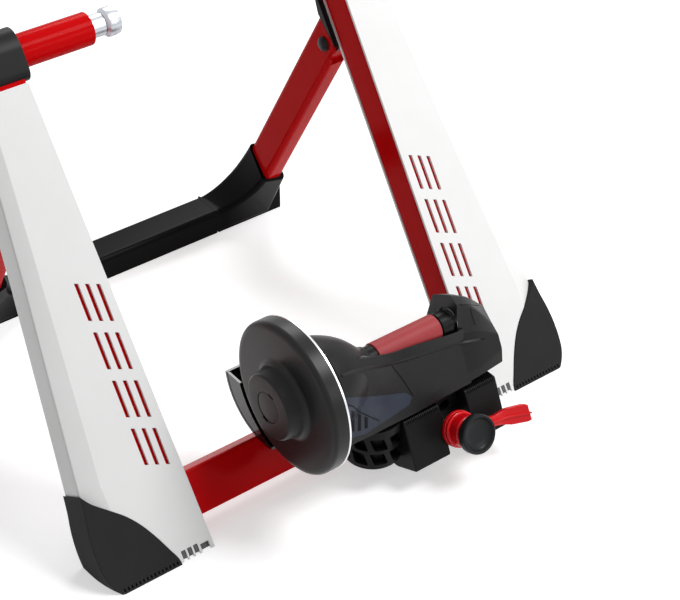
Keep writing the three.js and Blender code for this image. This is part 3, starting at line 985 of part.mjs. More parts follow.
function buildRotor() {
  const start = ROLLER_START_X;
  const end = ROLLER_END_X;
  const discX = FLYWHEEL_FACE_X + FLYWHEEL_DEPTH + GAP;
  const hubX = FLYWHEEL_FACE_X - HUB_PROUD;
  piece('shaft', solid(rodX(SHAFT_RADIUS, hubX + HUB_CAP_DEPTH + GAP, SHAFT_END_X)), zincSteel, unit);
  piece('roller_core', solid(turnedX([[SHAFT_RADIUS + GAP, start - COLLAR_RING_LENGTH], [COLLAR_RING_RADIUS, start - COLLAR_RING_LENGTH],
    [COLLAR_RING_RADIUS, start - GAP], [CORE_RADIUS, start - GAP], [CORE_RADIUS, end + GAP], [COLLAR_RING_RADIUS, end + GAP],
    [COLLAR_RING_RADIUS, end + COLLAR_RING_LENGTH], [SHAFT_RADIUS + GAP, end + COLLAR_RING_LENGTH],
    [SHAFT_RADIUS + GAP, start - COLLAR_RING_LENGTH]], 32)), blackPlastic, unit);
  piece('roller_sleeve', solid(ringX(ROLLER_RADIUS, CORE_RADIUS + GAP, start, end, 40)), rollerRubber, unit);

  const wall = FLYWHEEL_WALL;
  const rim = FLYWHEEL_RADIUS;
  const back = FLYWHEEL_FACE_X + FLYWHEEL_DEPTH;
  const edge = FLYWHEEL_EDGE;
  const capSeat = hubX + HUB_CAP_DEPTH;
  const cover = solid(turnedX([[SHAFT_RADIUS + GAP, back], [SHAFT_RADIUS + GAP, capSeat], [HUB_CAP_RADIUS + GAP, capSeat],
    [HUB_CAP_RADIUS + GAP, hubX], [HUB_RADIUS - edge / 2, hubX], [HUB_RADIUS, hubX + edge / 3],
    [HUB_BASE_RADIUS - edge / 2, FLYWHEEL_FACE_X - edge / 3], [HUB_BASE_RADIUS + edge / 2, FLYWHEEL_FACE_X + edge * 0.05],
    [rim - edge, FLYWHEEL_FACE_X], [rim - edge * 0.3, FLYWHEEL_FACE_X + edge * 0.3], [rim, FLYWHEEL_FACE_X + edge],
    [rim, back], [rim - wall, back], [rim - wall, FLYWHEEL_FACE_X + edge], [STEEL_RADIUS * 0.3, FLYWHEEL_FACE_X + edge],
    [STEEL_RADIUS * 0.3, back], [SHAFT_RADIUS + GAP, back]], 56));
  const slot = (sign) => solid(box(hubX - OVERRUN, hubX + HUB_CAP_DEPTH, -HUB_CAP_SLOT / 2, HUB_CAP_SLOT / 2,
    HUB_CAP_RADIUS - wall, HUB_CAP_RADIUS + wall).rotateX(sign * Math.PI / 2 - Math.PI / 2));
  piece('flywheel_cover', cut(cover, [slot(1), slot(-1)]), blackPlastic, unit);
  piece('hub_cap', solid(rodX(HUB_CAP_RADIUS, hubX + GAP, capSeat - GAP / 2, 32)), blackPlastic, unit);
  const steelX = back - GAP - STEEL_THICKNESS;
  piece('flywheel', solid(ringX(STEEL_RADIUS, STEEL_RADIUS * 0.3 + GAP, steelX, back - GAP, 40)), blackSteel, unit);
  piece('brake_disc', solid(ringX(DISC_RADIUS, SHAFT_RADIUS + GAP, discX, discX + DISC_THICKNESS, 56)), aluminium, unit);
}

function buildBrake() {
  const discBack = FLYWHEEL_FACE_X + FLYWHEEL_DEPTH + GAP + DISC_THICKNESS;
  const magnetX = discBack + MAGNET_GAP;
  const plateX = magnetX + MAGNET_LENGTH;
  const magnets = [];
  for (let i = 0; i < MAGNET_COUNT; i += 1) {
    magnets.push(solid(rodX(MAGNET_RADIUS, magnetX, plateX + GAP, 16).translate(0, 0, MAGNET_CIRCLE)
      .rotateX((i * TURN) / MAGNET_COUNT)));
  }
  const plate = solid(ringX(MAGNET_PLATE_RADIUS, MAGNET_PLATE_BORE, plateX, plateX + MAGNET_PLATE_THICKNESS, 40));
  piece('magnet_plate', joined([plate, ...magnets]), blackSteel, unit);

  const backX = plateX + MAGNET_PLATE_THICKNESS + GAP;
  const backEnd = HOUSING_LEFT_X - GAP;
  const disc = solid(ringX(BACK_PLATE_RADIUS, BORE_RADIUS, backX, backEnd, 48));
  const oval = (inset) => {
    const shape = new THREE.Shape();
    shape.absellipse(GUARD_Y - ROLLER_Y, GUARD_Z - ROLLER_Z, GUARD_REACH - inset, GUARD_DROP - inset, 0, TURN);
    return shape;
  };
  const side = solid(slabX(oval(0), backX, backEnd, 0, 20));
  const wall = solid(slabX(oval(0), FLYWHEEL_FACE_X, backEnd, 0, 20))
    .subtract(solid(slabX(oval(GUARD_WALL), FLYWHEEL_FACE_X - OVERRUN, backX, 0, 20)));
  const above = solid(box(-WIDE, WIDE, -WIDE, WIDE, GUARD_TOP_Z - ROLLER_Z, WIDE));
  const rear = solid(box(-WIDE, WIDE, -WIDE, GUARD_Y - ROLLER_Y - GUARD_REACH / 4, -WIDE, WIDE));
  const slot = solid(box(FLYWHEEL_FACE_X + 2 * GUARD_SLOT, FLYWHEEL_FACE_X + 3 * GUARD_SLOT, 0, WIDE,
    GUARD_TOP_Z - ROLLER_Z - GUARD_DROP / 2, GUARD_TOP_Z - ROLLER_Z - GUARD_SLOT));
  const guard = cut(joined([side, wall]), [above, rear, slot]);
  const bore = solid(rodX(BORE_RADIUS, backX - OVERRUN, HOUSING_LEFT_X, 24));
  piece('guard', joined([disc, guard]).subtract(bore), blackPlastic, unit);
}

function buildBearings() {
  const bearing = (x) => solid(ringX(BEARING_RADIUS, SHAFT_RADIUS + GAP, x, x + BEARING_WIDTH, 28));
  piece('bearing_left', bearing(BEARING_LEFT_X), zincSteel, unit);
  piece('bearing_right', bearing(BEARING_RIGHT_X), zincSteel, unit);
}

buildLegTubes();
buildCovers();
buildFeet();
buildCrossTube();
buildHeads();
buildSpindles();
buildQuickLever();
buildHinges();
buildFrontLegs();
buildElbows();
buildCarrier();
buildClamp();
buildHousing();
buildRotor();
buildBrake();
buildBearings();

// Origin: bottom centre of the whole object's box
trainer.updateMatrixWorld(true);
const bounds = new THREE.Box3().setFromObject(trainer, true);
const trainerRoot = new THREE.Group();
trainerRoot.add(trainer);
trainer.position.set(-(bounds.min.x + bounds.max.x) / 2, -(bounds.min.y + bounds.max.y) / 2, -bounds.min.z);

export default trainerRoot;
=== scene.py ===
# %% [markdown]
# # A wheel-on turbo trainer
# A bicycle's rear axle is held between two folding legs, and its tyre presses a roller that turns a
# flywheel past magnets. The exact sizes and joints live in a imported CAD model. This lesson puts the
# looks on it: softened edges, moulded details and real finishes, all in the CAD model's own frame.

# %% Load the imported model
import math

import bmesh
import bpy
from mathutils import Matrix, Vector
from mathutils.bvhtree import BVHTree


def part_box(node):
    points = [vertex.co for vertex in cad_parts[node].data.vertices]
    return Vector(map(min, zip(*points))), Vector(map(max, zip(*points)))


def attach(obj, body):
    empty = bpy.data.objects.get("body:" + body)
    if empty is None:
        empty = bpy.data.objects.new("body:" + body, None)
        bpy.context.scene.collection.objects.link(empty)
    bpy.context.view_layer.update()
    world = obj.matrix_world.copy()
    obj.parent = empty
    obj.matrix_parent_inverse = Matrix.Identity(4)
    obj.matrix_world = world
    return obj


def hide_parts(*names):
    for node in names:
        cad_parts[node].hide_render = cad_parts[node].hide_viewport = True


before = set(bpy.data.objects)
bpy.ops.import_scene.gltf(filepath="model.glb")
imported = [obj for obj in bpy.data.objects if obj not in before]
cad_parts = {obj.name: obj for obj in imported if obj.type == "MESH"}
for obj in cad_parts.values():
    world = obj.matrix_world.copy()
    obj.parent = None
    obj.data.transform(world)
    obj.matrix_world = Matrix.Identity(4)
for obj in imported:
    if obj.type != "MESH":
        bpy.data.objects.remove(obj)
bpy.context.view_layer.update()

# %% [markdown]
# The trainer is drawn in millimetres, in a few leaning frames: the main legs lean forward, the front
# legs lean back from their hinge bolts, the clamp rod dips, and the brake unit turns about its roller.
# A matrix for each frame takes a drawing straight to its place, so each piece is drawn square.

# %% Frames that the pieces are drawn in
MM = 0.001
LEG_LEAN = -34.52
FRONT_LEAN = 30.5
CLAMP_DIP = -24
ROLLER_BEHIND = 5
BOLT_THROUGH = 63.2
BOLT_ALONG = 424.4
ROD_ACROSS = 88.5
ROD_BEHIND = 51.341
ROD_UP = 49.036


def leaning(origin, lean):
    turn = Matrix.Rotation(math.radians(lean), 4, "X")
    return Matrix.Translation(origin) @ turn @ Matrix.Scale(MM, 4)


shaft_low, shaft_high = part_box("shaft")
roller_axis = (shaft_low + shaft_high) / 2
roller_axis.x = 0
stand_origin = Vector((0, roller_axis.y + ROLLER_BEHIND * MM, 0))
STAND = leaning(stand_origin, 0)
LEG = leaning(stand_origin, LEG_LEAN)
FRONT = leaning(LEG @ Vector((0, BOLT_THROUGH, BOLT_ALONG)), FRONT_LEAN)
CLAMP = leaning(STAND @ Vector((ROD_ACROSS, -ROD_BEHIND, ROD_UP)), CLAMP_DIP)
UNIT = leaning(roller_axis, 0)
print("hinge bolts at", FRONT.translation, "roller axis at", UNIT.translation)

# %% [markdown]
# The photograph was taken from behind and to the left, looking down at 37 degrees. The camera comes
# first, so that every piece can be looked at as it is made.

# %% Camera at the photograph's view
CAMERA_PLACE = (-0.84339, -1.278577, 1.254625)
CAMERA_LOOKS = (0.48399, 0.63487, -0.60223)
SENSOR = 36
PHOTO_WIDTH = 680
PHOTO_HEIGHT = 600
FOCAL_PIXELS = 1782.655

camera = bpy.data.objects.new("camera", bpy.data.cameras.new("camera"))
bpy.context.scene.collection.objects.link(camera)
camera.location = CAMERA_PLACE
camera.rotation_euler = Vector(CAMERA_LOOKS).to_track_quat("-Z", "Y").to_euler()
camera.data.sensor_width = SENSOR
camera.data.lens = SENSOR * FOCAL_PIXELS / PHOTO_WIDTH
bpy.context.scene.camera = camera
bpy.context.scene.view_settings.view_transform = "Standard"
print("lens", round(camera.data.lens, 2), "mm")


def sight(px, py):
    """The direction in which the camera looks at a point of the photograph."""
    looks = Vector(CAMERA_LOOKS)
    right = looks.cross(Vector((0, 0, 1))).normalized()
    up = right.cross(looks).normalized()
    across, below = px - PHOTO_WIDTH / 2, py - PHOTO_HEIGHT / 2
    return (looks.normalized() * FOCAL_PIXELS + right * across - up * below).normalized()


# %% [markdown]
# A studio shot on white: a broad soft lamp stands high on the right, a weak one low on the same side,
# and a third behind the trainer, whose reflection lights the upper faces. Added to them is an even sky.
# The floor and the sky look white to the camera and in reflections, while the floor still catches the
# shadow, because only part of its white is given off and the rest is lit.

# %% Functions that add shader nodes
def add(tree, kind, settings=None, inputs=None):
    node = tree.nodes.new(kind)
    for name, value in (settings or {}).items():
        setattr(node, name, value)
    for name, value in (inputs or {}).items():
        if isinstance(value, bpy.types.NodeSocket):
            tree.links.new(value, node.inputs[name])
        else:
            node.inputs[name].default_value = value
    return node


def cleared(owner):
    owner.use_nodes = True
    owner.node_tree.nodes.clear()
    return owner.node_tree


def either(tree, one, other):
    return add(tree, "ShaderNodeMath", {"operation": "MAXIMUM"}, {0: one, 1: other}).outputs[0]


def linear(hex_colour):
    shares = [int(hex_colour[i:i + 2], 16) / 255 for i in (1, 3, 5)]
    return (*[s / 12.92 if s <= 0.04045 else ((s + 0.055) / 1.055) ** 2.4 for s in shares], 1)


print("white is", linear("#ffffff"))

# %% Sky
SKY_FILL = 0.28

sky = bpy.data.worlds.new("studio sky")
bpy.context.scene.world = sky
tree = cleared(sky)
path = add(tree, "ShaderNodeLightPath").outputs
seen = either(tree, either(tree, path["Is Camera Ray"], path["Is Glossy Ray"]), path["Is Transmission Ray"])
level = add(tree, "ShaderNodeMapRange", {}, {"Value": seen, "To Min": SKY_FILL, "To Max": 1.0})
glow = add(tree, "ShaderNodeBackground", {}, {"Color": linear("#ffffff"), "Strength": level.outputs[0]})
add(tree, "ShaderNodeOutputWorld", {}, {"Surface": glow.outputs[0]})
print("sky gives", SKY_FILL, "of white to matt surfaces")

# %% Lamps
LAMP_AIM = (0, 0, 0.2)


def lamp(name, place, size, power):
    light = bpy.data.lights.new(name, "AREA")
    light.shape = "DISK"
    light.size = size
    light.energy = power
    holder = bpy.data.objects.new(name, light)
    bpy.context.scene.collection.objects.link(holder)
    holder.location = place
    holder.rotation_euler = (Vector(LAMP_AIM) - Vector(place)).to_track_quat("-Z", "Y").to_euler()
    print(name, power, "W")


lamp("upper right softbox", (0.9, -0.9, 1.95), 0.9, 30)
lamp("lower right softbox", (0.97, -1.8, 0.95), 0.7, 5)
lamp("softbox behind the trainer", (1.0, 1.25, 1.5), 1.0, 18)

# %% Floor
FLOOR_GLOW = 0.5
FLOOR_REACH = 6


def floor_finish():
    material = bpy.data.materials.new("white studio floor")
    tree = cleared(material)
    path = add(tree, "ShaderNodeLightPath").outputs
    lit = add(tree, "ShaderNodeBsdfDiffuse", {}, {"Color": linear("#e6e6e6")}).outputs[0]
    given = add(tree, "ShaderNodeEmission", {}, {"Color": linear("#ffffff"), "Strength": FLOOR_GLOW})
    bright = add(tree, "ShaderNodeAddShader", {}, {0: lit, 1: given.outputs[0]}).outputs[0]
    seen = either(tree, path["Is Camera Ray"], path["Is Glossy Ray"])
    shown = add(tree, "ShaderNodeMixShader", {}, {0: seen, 1: lit, 2: bright})
    add(tree, "ShaderNodeOutputMaterial", {}, {"Surface": shown.outputs[0]})
    return material


bm = bmesh.new()
bmesh.ops.create_grid(bm, x_segments=1, y_segments=1, size=FLOOR_REACH)
mesh = bpy.data.meshes.new("studio floor")
bm.to_mesh(mesh)
bm.free()
floor = bpy.data.objects.new("studio_floor", mesh)
bpy.context.scene.collection.objects.link(floor)
floor.data.materials.append(floor_finish())
print("floor", [round(x, 2) for x in floor.dimensions])

# %% [markdown]
# Finishes. Each starts from the real material. Two near shades drift into each other over a few
# centimetres, and a fine grain moves the roughness and tips the surface, which is what tells paint
# from moulded plastic and rubber. All patterns sit on object coordinates, sized in real millimetres.

# %% Function that makes a finish
DRIFT = 35


def finish(name, shades, roughness, grain, relief, shine=0.5, metal=0):
    material = bpy.data.materials.new(name)
    tree = cleared(material)
    place = add(tree, "ShaderNodeTexCoord").outputs["Object"]
    cloud = add(tree, "ShaderNodeTexNoise", {}, {"Vector": place, "Scale": 1 / (DRIFT * MM), "Detail": 3.0})
    colour = add(tree, "ShaderNodeMix", {"data_type": "RGBA"},
                 {0: cloud.outputs["Fac"], 6: linear(shades[0]), 7: linear(shades[1])})
    fine = add(tree, "ShaderNodeTexNoise", {}, {"Vector": place, "Scale": 1 / (grain * MM), "Detail": 2.0})
    rough = add(tree, "ShaderNodeMapRange", {},
                {"Value": fine.outputs["Fac"], "To Min": roughness[0], "To Max": roughness[1]})
    bump = add(tree, "ShaderNodeBump", {},
               {"Height": fine.outputs["Fac"], "Distance": relief * MM, "Strength": 1.0})
    shader = add(tree, "ShaderNodeBsdfPrincipled", {},
                 {"Base Color": colour.outputs[2], "Roughness": rough.outputs[0], "Normal": bump.outputs[0],
                  "Specular IOR Level": shine, "Metallic": metal})
    add(tree, "ShaderNodeOutputMaterial", {}, {"Surface": shader.outputs[0]})
    return material


# %% Painted steel and white plastic
# Steel tube in baked deep red enamel: saturated, with a tight highlight and a faint orange peel.
red_enamel = finish("deep red enamel", ("#c9090d", "#d20e12"), (0.12, 0.18), 2.2, 0.003, 0.02)
# Glossy injection-moulded ABS: white with a barely warm drift and a soft sheen.
white_abs = finish("glossy white ABS", ("#f1f1f0", "#f7f7f7"), (0.18, 0.26), 1.5, 0.003, 0.3)
print(red_enamel.name, "and", white_abs.name)

# %% Dark plastics
# Glass-filled nylon of the brake housing: charcoal with a spark-eroded grain that breaks up the light.
charcoal_nylon = finish("charcoal glass-filled nylon", ("#191919", "#1f1f20"),
                        (0.34, 0.44), 0.7, 0.012, 0.15)
# The flywheel's moulded face: the same nylon with a smoother skin.
flywheel_nylon = finish("satin charcoal nylon", ("#1d1d1e", "#232324"),
                        (0.3, 0.38), 0.8, 0.008, 0.2)
# Polished black ABS of the guard: deep black that mirrors what stands beside it.
polished_black = finish("polished black ABS", ("#060606", "#0a0a0b"),
                        (0.07, 0.12), 1.2, 0.003)
# Satin black polypropylene of the elbows and ground bar: almost no colour, a soft broad highlight.
black_polypropylene = finish("satin black polypropylene", ("#0a0a0a", "#0f0f10"),
                             (0.26, 0.34), 0.9, 0.008, 0.04)
# Nylon of the carrier and its ribbed cheeks, a little darker than the housing.
carrier_nylon = finish("black carrier nylon", ("#111111", "#171718"),
                       (0.32, 0.42), 0.8, 0.012, 0.1)
# Satin hand knob, a little bluer than the housing.
knob_nylon = finish("satin graphite nylon", ("#1a1b1c", "#222425"),
                    (0.3, 0.38), 0.8, 0.01, 0.15)
# Printed film on the rear panel: a blue-grey satin sheet with black ink.
label_film = finish("blue-grey printed film", ("#2b303d", "#353b49"),
                    (0.3, 0.36), 1.4, 0.002, 0.15)
label_ink = finish("dark label ink", ("#08090b", "#0c0d10"), (0.3, 0.4), 1.2, 0.002, 0.06)

# %% Rubbers, red acetal and metals
# Moulded rubber of the feet: matt, with a coarse skin. The strip beside it is a softer grey grade.
foot_rubber = finish("moulded black rubber", ("#262627", "#2e2e2f"),
                     (0.66, 0.8), 1.1, 0.03, 0.12)
grey_rubber = finish("grey thermoplastic rubber", ("#626262", "#6e6e6e"),
                     (0.6, 0.75), 1.0, 0.02, 0.2)
# Cast polyurethane of the roller: soft red with a matt skin.
roller_rubber = finish("cast red polyurethane", ("#9a3236", "#a53b3f"),
                       (0.45, 0.55), 0.9, 0.01, 0.25)
# Red acetal of the levers, bright and smooth.
red_acetal = finish("bright red acetal", ("#d20a14", "#e2121c"), (0.2, 0.28), 1.2, 0.004, 0.3)
# Bright zinc plating on steel: small crystals shift the roughness.
zinc_plate = finish("bright zinc plate", ("#b4b8be", "#c6cad0"), (0.24, 0.36), 1.0, 0.006,
                    metal=1)
# Blackened steel of hinge parts.
black_oxide = finish("black oxide steel", ("#161617", "#202021"), (0.38, 0.5), 0.9, 0.01,
                     0.2, 0.5)
# Turned aluminium brake disc: a fine grain brightens its thin rim.
turned_aluminium = finish("turned aluminium", ("#dfe1e4", "#eff0f2"), (0.2, 0.3), 0.5, 0.004,
                          metal=1)

# %% [markdown]
# Modelling helpers. A prism is a flat outline, its corners rounded by a vertex bevel, extruded along
# an axis, with its rims rounded by an edge bevel. A turned piece is a profile spun about an axis.
# A skin joins rings, one after another, by extruding their edges. Holes are cut by a Boolean modifier.
# A finished piece is smoothed, dressed, and rides on a body, where it stands in for the CAD nodes.

# %% Prism, turned piece and skin
PLANES = {"X": lambda u, v, w: (w, u, v), "Y": lambda u, v, w: (u, w, v), "Z": lambda u, v, w: (u, v, w)}
AXES = {"X": (1, 0, 0), "Y": (0, 1, 0), "Z": (0, 0, 1)}
WELD = 1e-4
FLAT = math.radians(0.5)


def outward(bm):
    bmesh.ops.recalc_face_normals(bm, faces=bm.faces[:])
    return bm


def rounded(bm, edges, width, steps=3):
    bmesh.ops.bevel(bm, geom=list(edges), offset=width, segments=steps, profile=0.5, affect="EDGES",
                    material=-1, clamp_overlap=True)
    return bm


def outline(axis, corners, at, radius=0, steps=4):
    bm = bmesh.new()
    bm.faces.new([bm.verts.new(PLANES[axis](u, v, at)) for u, v in corners])
    if radius:
        bmesh.ops.bevel(bm, geom=bm.verts[:], offset=radius, segments=steps, profile=0.5,
                        affect="VERTICES", material=-1, clamp_overlap=True)
    return bm


def prism(axis, corners, low, high, radius=0, steps=4, edge=0, edge_steps=3):
    bm = outline(axis, corners, low, radius, steps)
    swept = bmesh.ops.extrude_face_region(bm, geom=bm.faces[:])
    far = [part for part in swept["geom"] if isinstance(part, bmesh.types.BMVert)]
    bmesh.ops.translate(bm, verts=far, vec=Vector(AXES[axis]) * (high - low))
    outward(bm)
    if edge:
        along = Vector(AXES[axis])
        caps = [f for f in bm.faces if abs(f.normal.dot(along)) > 0.99 and len(f.verts) == len(far)]
        rounded(bm, {e for f in caps for e in f.edges}, edge, edge_steps)
    return bm


def rectangle(u0, u1, v0, v1):
    return [(u0, v0), (u1, v0), (u1, v1), (u0, v1)]


def turned(profile, axis="X", steps=72):
    bm = bmesh.new()
    spots = {"X": lambda r, a: (a, r, 0), "Y": lambda r, a: (r, a, 0), "Z": lambda r, a: (r, 0, a)}[axis]
    verts = [bm.verts.new(spots(r, a)) for r, a in profile]
    edges = [bm.edges.new(pair) for pair in zip(verts, verts[1:])]
    bmesh.ops.spin(bm, geom=verts + edges, cent=(0, 0, 0), axis=AXES[axis], angle=math.tau, steps=steps,
                   use_merge=True)
    bmesh.ops.remove_doubles(bm, verts=bm.verts[:], dist=WELD)
    return outward(bm)


def skin(rings, capped=True):
    bm = bmesh.new()
    ring = [bm.verts.new(p) for p in rings[0]]
    pairs = list(zip(range(len(ring)), range(1, len(ring)))) + ([(len(ring) - 1, 0)] if capped else [])
    if capped:
        bm.faces.new(ring)
    else:
        for a, b in pairs:
            bm.edges.new((ring[a], ring[b]))
    for points in rings[1:]:
        made = bmesh.ops.extrude_edge_only(bm, edges=[bm.edges.get((ring[a], ring[b])) for a, b in pairs])
        fresh = {part for part in made["geom"] if isinstance(part, bmesh.types.BMVert)}
        ring = [next(e.other_vert(v) for e in v.link_edges if e.other_vert(v) in fresh) for v in ring]
        for vert, point in zip(ring, points):
            vert.co = point
    if capped:
        bm.faces.new(ring)
    return outward(bm)


# %% Tube and smooth curves
def tube(axis, corners, low, high, radius, wall, steps=6):
    bm = outline(axis, corners, low, radius, steps)
    bmesh.ops.delete(bm, geom=bm.faces[:], context="FACES_KEEP_BOUNDARY")
    made = bmesh.ops.extrude_edge_only(bm, edges=bm.edges[:])
    far = [part for part in made["geom"] if isinstance(part, bmesh.types.BMVert)]
    bmesh.ops.translate(bm, verts=far, vec=Vector(AXES[axis]) * (high - low))
    outward(bm)
    bmesh.ops.solidify(bm, geom=bm.faces[:], thickness=wall)
    return outward(bm)


def glide(rings, steps):
    """The rings with more between them, on Catmull-Rom curves through their points."""
    path = [rings[0]] + rings + [rings[-1]]
    out = []
    for r in range(1, len(path) - 2):
        for s in range(steps):
            t = s / steps
            out.append([0.5 * ((2 * b) + (c - a) * t + (2 * a - 5 * b + 4 * c - d) * t * t
                               + (3 * b - a - 3 * c + d) * t * t * t)
                        for a, b, c, d in zip(path[r - 1], path[r], path[r + 1], path[r + 2])])
    return out + [rings[-1]]


def smooth_line(points, steps):
    return [tuple(ring[0][:2]) for ring in glide([[Vector((*p, 0))] for p in points], steps)]


# %% Cutting, joining and finishing a piece
def held(bm):
    mesh = bpy.data.meshes.new("tool")
    bm.to_mesh(mesh)
    bm.free()
    holder = bpy.data.objects.new("tool", mesh)
    bpy.context.scene.collection.objects.link(holder)
    return holder


def carved(bm, tools, operation="DIFFERENCE", solver="MANIFOLD", whole_faces=True):
    body = held(bm)
    helpers = [held(tool) for tool in tools]
    for helper in helpers:
        step = body.modifiers.new("cut", "BOOLEAN")
        step.operation = operation
        step.solver = solver
        step.object = helper
    shape = body.evaluated_get(bpy.context.evaluated_depsgraph_get())
    out = bmesh.new()
    out.from_mesh(shape.to_mesh())
    for holder in [body, *helpers]:
        mesh = holder.data
        bpy.data.objects.remove(holder)
        bpy.data.meshes.remove(mesh)
    bmesh.ops.remove_doubles(out, verts=out.verts[:], dist=WELD)
    if whole_faces:
        bmesh.ops.dissolve_limit(out, angle_limit=FLAT, verts=out.verts[:], edges=out.edges[:])
    return out


def finished(name, bm, place, material, body, nodes=(), mirror=False, edge=0, smooth=35):
    if mirror:
        bmesh.ops.scale(bm, vec=(-1, 1, 1), verts=bm.verts[:])
        bmesh.ops.reverse_faces(bm, faces=bm.faces[:])
    bmesh.ops.transform(bm, matrix=place, verts=bm.verts[:])
    mesh = bpy.data.meshes.new(name)
    bm.to_mesh(mesh)
    bm.free()
    mesh.polygons.foreach_set("use_smooth", [True] * len(mesh.polygons))
    mesh.set_sharp_from_angle(angle=math.radians(smooth))
    mesh.materials.append(material)
    piece = bpy.data.objects.new(name, mesh)
    bpy.context.scene.collection.objects.link(piece)
    if edge:
        bevel = piece.modifiers.new("softened edges", "BEVEL")
        bevel.width = edge * MM
        bevel.segments = 2
        bevel.limit_method = "ANGLE"
        bevel.angle_limit = math.radians(smooth)
        bevel.harden_normals = True
    even = piece.modifiers.new("even shading", "WEIGHTED_NORMAL")
    even.keep_sharp = True
    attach(piece, body)
    if nodes:
        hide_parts(*nodes)
    print(name, len(mesh.polygons), "faces")
    return piece


def both_sides(name, bm, place, material, body, nodes, edge=0, smooth=35):
    pair = {"right": bm, "left": bm.copy()}
    for side, shape in pair.items():
        finished(f"{name}_{side}", shape, place, material, body, [f"{n}_{side}" for n in nodes],
                 side == "left", edge, smooth)


# %% [markdown]
# The main legs are rectangular steel tubes that lean forward and spread slightly. A short sheared prism
# would do, but a real tube has a wall, so the outline is extruded open and then given its thickness.

# %% Main leg tubes and the cross tube
LEG_X = 178.2
SPLAY = 0.013
TUBE_LOW = 3.6
TUBE_HIGH = 41.6
TUBE_WIDTH = 46
TUBE_WALL = 2.2
LEG_TUBE_TOP = 500.4
LEG_TUBE_CORNER = 2.6
FOOT_CLEARANCE = 5
GAP = 0.3
REACH = 400
SHEAR = Matrix(((1, 0, SPLAY, 0), (0, 1, 0, 0), (0, 0, 1, 0), (0, 0, 0, 1)))
LEVEL = Matrix.Rotation(math.radians(-LEG_LEAN), 4, "X")


def moved(bm, matrix):
    bmesh.ops.transform(bm, matrix=matrix, verts=bm.verts[:])
    return bm


def under_floor(height):
    return moved(prism("Z", rectangle(-REACH, REACH, -REACH, REACH), -REACH, height), LEVEL)


leg = tube("Z", rectangle(LEG_X, LEG_X + TUBE_WIDTH, TUBE_LOW, TUBE_HIGH), -FOOT_CLEARANCE, LEG_TUBE_TOP,
           LEG_TUBE_CORNER, TUBE_WALL)
leg = carved(moved(leg, SHEAR), [under_floor(FOOT_CLEARANCE)])
both_sides("enamelled_leg", leg, LEG, red_enamel, "frame", ["leg_tube"])

CROSS_REAR = 5
CROSS_DEPTH = 28
CROSS_LOW = 33.3
CROSS_HEIGHT = 47.2
CROSS_END = 178.3
CROSS_CORNER = 3.4
cross = tube("X", rectangle(CROSS_REAR, CROSS_REAR + CROSS_DEPTH, CROSS_LOW, CROSS_LOW + CROSS_HEIGHT),
             -CROSS_END, CROSS_END, CROSS_CORNER, TUBE_WALL)
finished("enamelled_cross_tube", cross, LEG, red_enamel, "frame", ["cross_tube"])

# %% [markdown]
# The white covers are injection-moulded shells, three millimetres thick, that hide the tubes. Their
# outer rear edge has a long flat chamfer that widens towards the floor, so a plain rounded slab would
# miss the line that catches the light. The shell is one cross-section, extruded from station to station
# up the leg, then given its wall. The slots, the notches at the foot and the bite for the rubber pad
# are cut through it.

# %% Cross-section of the leg covers
COVER_TOP = 487
COVER_WIDTH = 108
COVER_DEPTH = 45
COVER_WALL = 3
COVER_PROUD = 1.6
CHAMFER_FOOT = 25
CHAMFER_TOP = 12
CHAMFER_DEPTH = 6
COVER_SHARES = ((0, 0.97), (0.05, 0.995), (0.213, 0.998), (0.4, 0.892), (0.634, 0.757), (0.906, 0.618),
                (1, 0.576))


def cover_edge(along):
    share = along / COVER_TOP
    pairs = zip(COVER_SHARES, COVER_SHARES[1:])
    low, high = next((pair for pair in pairs if share <= pair[1][0]), COVER_SHARES[-2:])
    width = low[1] + (high[1] - low[1]) * (share - low[0]) / (high[0] - low[0])
    return LEG_X + width * COVER_WIDTH


def cover_section(along):
    inner = LEG_X + SPLAY * along
    outer = cover_edge(max(0, along)) + COVER_PROUD
    chamfer = CHAMFER_FOOT + (CHAMFER_TOP - CHAMFER_FOOT) * along / COVER_TOP
    return [Vector((x, y, along)) for x, y in (
        (inner, 0), (outer - chamfer, 0), (outer - chamfer + 1.2, 0.15), (outer - 1.5, CHAMFER_DEPTH - 0.3),
        (outer - 0.4, CHAMFER_DEPTH + 0.7), (outer, CHAMFER_DEPTH + 2.2), (outer, COVER_DEPTH - 4),
        (outer - 1.2, COVER_DEPTH - 1.2), (outer - 4, COVER_DEPTH), (inner, COVER_DEPTH))]


print("cover", round(cover_edge(0) - LEG_X, 1), "mm wide at the floor")

# %% Outline of the foot pad
PAD_INNER_X = 216.4
PAD_HEIGHT = 104
PAD_BULGE = 11.5
PAD_RIM = ((1.09, 0.995), (0.97, 0.89), (0.77, 0.77), (0.565, 0.65), (0.4, 0.52), (0.256, 0.365),
           (0.11, 0.17), (0.01, 0), (0, -0.35))
PAD_SIDE = ((0, 0.2), (0.08, 0.62), (0.2, 0.9), (0.4, 1), (0.62, 0.85), (0.82, 0.5))


def pad_outline(clearance):
    base = cover_edge(0) - PAD_INNER_X
    rim = [(PAD_INNER_X - clearance + x * base, up * PAD_HEIGHT + clearance) for x, up in PAD_RIM]
    side = [(cover_edge(up * PAD_HEIGHT) + out * PAD_BULGE + 20 * clearance, up * PAD_HEIGHT)
            for up, out in PAD_SIDE]
    return smooth_line(rim, 4) + smooth_line(side, 4)


print(len(pad_outline(0)), "points round the foot pad")

